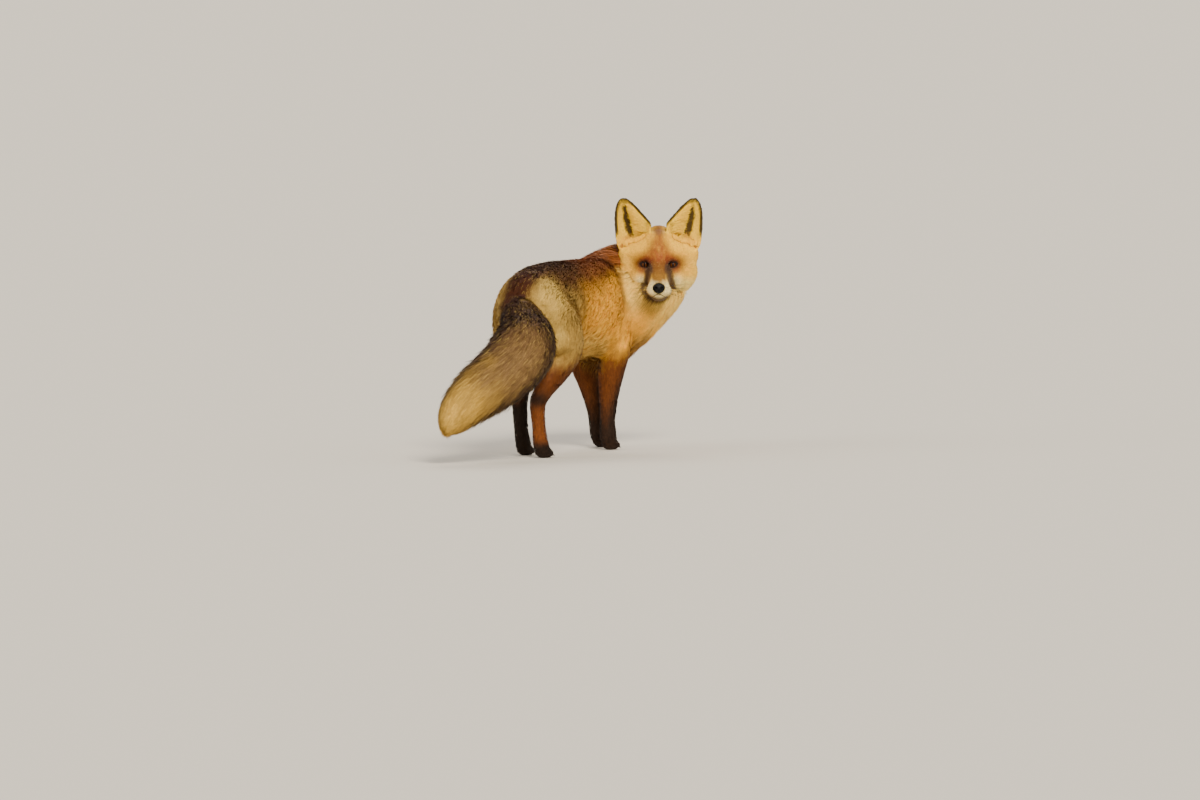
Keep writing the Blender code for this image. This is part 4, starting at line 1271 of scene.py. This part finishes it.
def clawsPiece():
    # four on each foot: a tapered horn that curves down in front of its toe
    tubes = []
    for kind in ("hind", "fore"):
        for side, sign in sideSigns.items():
            last = clawPlan[kind]
            forward, outward = strides[f"{kind}_{side}"]
            share = (1.0 - last[2] / hipHeight) ** 0.7
            middle = np.array([last[0] + forward * share, last[1] * sign + outward * share, 0.0]) + shift
            aim = math.radians(clawPlan["toes"]) * sign
            for across, ahead in zip(clawPlan["across"], clawPlan["ahead"]):
                way = np.array([math.cos(aim), math.sin(aim), 0.0])
                beside = np.array([-math.sin(aim), math.cos(aim), 0.0])
                root = middle + way * (ahead - clawPlan["sunk"]) + beside * across
                step = np.linspace(0.0, 1.0, 8)[:, None]
                path = root + way * clawPlan["length"] * step
                path[:, 2] = clawPlan["height"] - clawPlan["drop"] * step[:, 0] ** 2
                tubes.append(tubeRows(path, clawPlan["thick"] * (1.05 - step[:, 0]), 8))
    return joinedTubes("claws", tubes, tone(38, 30, 26), "clawHorn")


earHairPlan = {
    "edge": {"count": 2200, "length": (0.01, 0.028), "up": (0.038, 0.116), "lift": 0.003,
             "clear": (0.0045, 0.004)},  # of the ear's edge, and of the hollow
    "base": {"count": 900, "length": (0.007, 0.012), "up": (0.034, 0.052), "lift": 0.0024,
             "across": (0.026, 0.08)},
    "width": 0.0009,
    "seeds": {"left": 61, "right": 62},
}


def earHairPiece(side):
    # pale hair that lies from the ear's inner edge to the hollow, and fuller hair that rises before the
    # ear's base: each blade leaves its root straight and bows forwards by part of a sine
    rng, sign = np.random.default_rng(earHairPlan["seeds"][side]), sideSigns[side]
    tris = head["tris"]
    local = toHead(head["outer"][tris].mean(1))
    across, up = local[:, 1] * sign, local[:, 2]
    isEar, beside = head["ear"][tris[:, 0]] > 0.5, head["besideEar"][tris[:, 0]]
    ahead = (head["normal"][tris[:, 0]] @ headAxes[0] > 0.1) & (beside > 0.05) & (across > 0)
    start, end = earPlan["hollow"]
    bound = np.interp(up, (start[1], end[1]), (start[0], end[0])) - 0.006
    share = np.linspace(0.0, 1.0, bladePlan["steps"] + 1)
    flat = unwrapped(head["skin"], tris[ahead])
    order = np.cumsum(ahead) - 1
    allPaths, allTones, allRoots = [], [], []
    for kind in ("edge", "base"):
        plan = earHairPlan[kind]
        fits = ahead & (up > plan["up"][0]) & (up < plan["up"][1])
        if kind == "edge":
            fromEdge, fromHollow = plan["clear"]
            fits &= isEar & (fromEarEdge(across, up) > fromEdge) & (across < bound - fromHollow)
        else:
            fits &= ~isEar & (across > plan["across"][0]) & (across < plan["across"][1])
        count = plan["count"] // 1
        chosen = rng.choice(np.flatnonzero(fits), count)
        reach = rng.uniform(*plan["length"], count)
        if kind == "edge":
            reach = np.clip(bound[chosen] + rng.normal(0.0, 0.004, count) - across[chosen], *plan["length"])
            way = np.stack([rng.normal(0.06, 0.06, count), np.full(count, sign),
                            rng.normal(0.45, 0.2, count)], 1)
        else:
            fan = (across[chosen] - 0.048) * 5.0 * (across[chosen] < 0.066) + rng.normal(0, 0.12, count)
            way = np.stack([rng.normal(-0.05, 0.08, count), fan * sign, np.ones(count)], 1)
        place = local[chosen][:, None] + unit(way)[:, None] * (reach[:, None] * share)[..., None]
        bow = plan["lift"] * np.sin(0.75 * math.pi * share)
        place[..., 0] += bow * rng.uniform(0.2, 1.0, count)[:, None]
        allPaths.append(fromHead(place.reshape(-1, 3)).reshape(place.shape))
        under = headTones(local[chosen], head["normal"][tris[chosen, 0]])
        pale = np.tile(coatTones["earCream"], (count, 1)) if kind == "edge" else under
        tones = mix(pale[:, None], coatTones["earCream"],
                    np.broadcast_to(0.55 * share ** 2, (count, len(share))))
        shade = np.interp(share, (0, 0.4, 1), (0.8, 1.0, 1.03))[None, :, None]
        allTones.append(tones * shade * rng.normal(1.0, 0.05, (count, 1, 1)))
        if flat is not None:
            allRoots.append(flat[order[chosen]].mean(1))
    paths, tones = np.concatenate(allPaths), np.concatenate(allTones)
    count = len(paths)
    widths = earHairPlan["width"] * rng.uniform(0.6, 1.2, count)
    roll = np.clip(rng.normal(0, 0.4, count), -1.1, 1.1)
    normals = np.broadcast_to(headAxes[0], paths.shape)
    flatRoots = np.concatenate(allRoots) if allRoots else None
    return bladesPiece(f"earHair_{side}", paths, normals, widths, roll, tones, flatRoots)


for side in sideSigns:
    eyePiece(side)
    earHairPiece(side)
nosePiece()
lipsPiece()
whiskersPiece()
clawsPiece()
print("face and claws made")

studio = {
    "floorTone": tone(214, 208, 198),
    "floorHalf": 60.0,
    "lamps": {  # degrees past the camera's azimuth, elevation, power, degrees it spans, colour
        "key": (14, 34, 4.2, 18.0, (1.0, 0.93, 0.82)),
        "fill": (-60, 25, 1.1, 40.0, (1.0, 0.98, 0.95)),
        "back": (170, 45, 1.1, 30.0, (1.0, 0.97, 0.92)),
    },
    "skyTone": (1.0, 0.985, 0.96, 1.0),
    "sky": 0.62,
    "distance": 45.0,
    "azimuth": -65.0,
    "elevation": 3.0,
    "frameWidth": 2.4,  # metres across the picture at the fox
    "aim": (0.0305, -0.0654, 0.106),  # the plan's point in the middle of the picture
}


def floorPiece():  # one wide square at height 0
    half = studio["floorHalf"]
    corners = np.array([(-half, -half, 0), (half, -half, 0), (half, half, 0), (-half, half, 0)], float)
    mesh = facesMesh("floor", corners, np.array([[0, 1, 2, 3]]), smooth=False)
    paper = {"Roughness": 0.9, "Specular IOR Level": 0.1, "Base Color": (*studio["floorTone"], 1.0)}
    floor = addPiece("floor", mesh, nodeMaterial("floorPaper", paper)[0])


def setFrom(thing, azimuth, elevation):  # turns a lamp or camera to look from there; gives the way to it
    turn, rise = math.radians(azimuth), math.radians(elevation)
    way = Vector((math.sin(turn) * math.cos(rise), -math.cos(turn) * math.cos(rise), math.sin(rise)))
    bpy.context.scene.collection.objects.link(thing)
    thing.rotation_euler = way.to_track_quat("Z", "Y").to_euler()
    return way


def lightsAndCamera():
    # lamps stand at their own angles past the camera's; the lens is the sensor's width times the distance
    # over the picture's width
    for name, (azimuth, elevation, power, soft, colour) in studio["lamps"].items():
        data = bpy.data.lights.new(name, "SUN")
        data.energy, data.angle, data.color = power, math.radians(soft), colour
        setFrom(bpy.data.objects.new(name, data), studio["azimuth"] + azimuth, elevation)
    world = bpy.data.worlds.new("studioAir")
    world.use_nodes = True
    world.node_tree.nodes["Background"].inputs["Color"].default_value = studio["skyTone"]
    world.node_tree.nodes["Background"].inputs["Strength"].default_value = studio["sky"]
    bpy.context.scene.world = world
    data = bpy.data.cameras.new("camera")
    data.sensor_width = 36.0
    data.lens = data.sensor_width * studio["distance"] / studio["frameWidth"]
    data.clip_end = 500.0
    camera = bpy.data.objects.new("camera", data)
    way = setFrom(camera, studio["azimuth"], studio["elevation"])
    camera.location = Vector(np.array(studio["aim"]) + shift) + way * studio["distance"]
    bpy.context.scene.camera = camera


floorPiece()
lightsAndCamera()
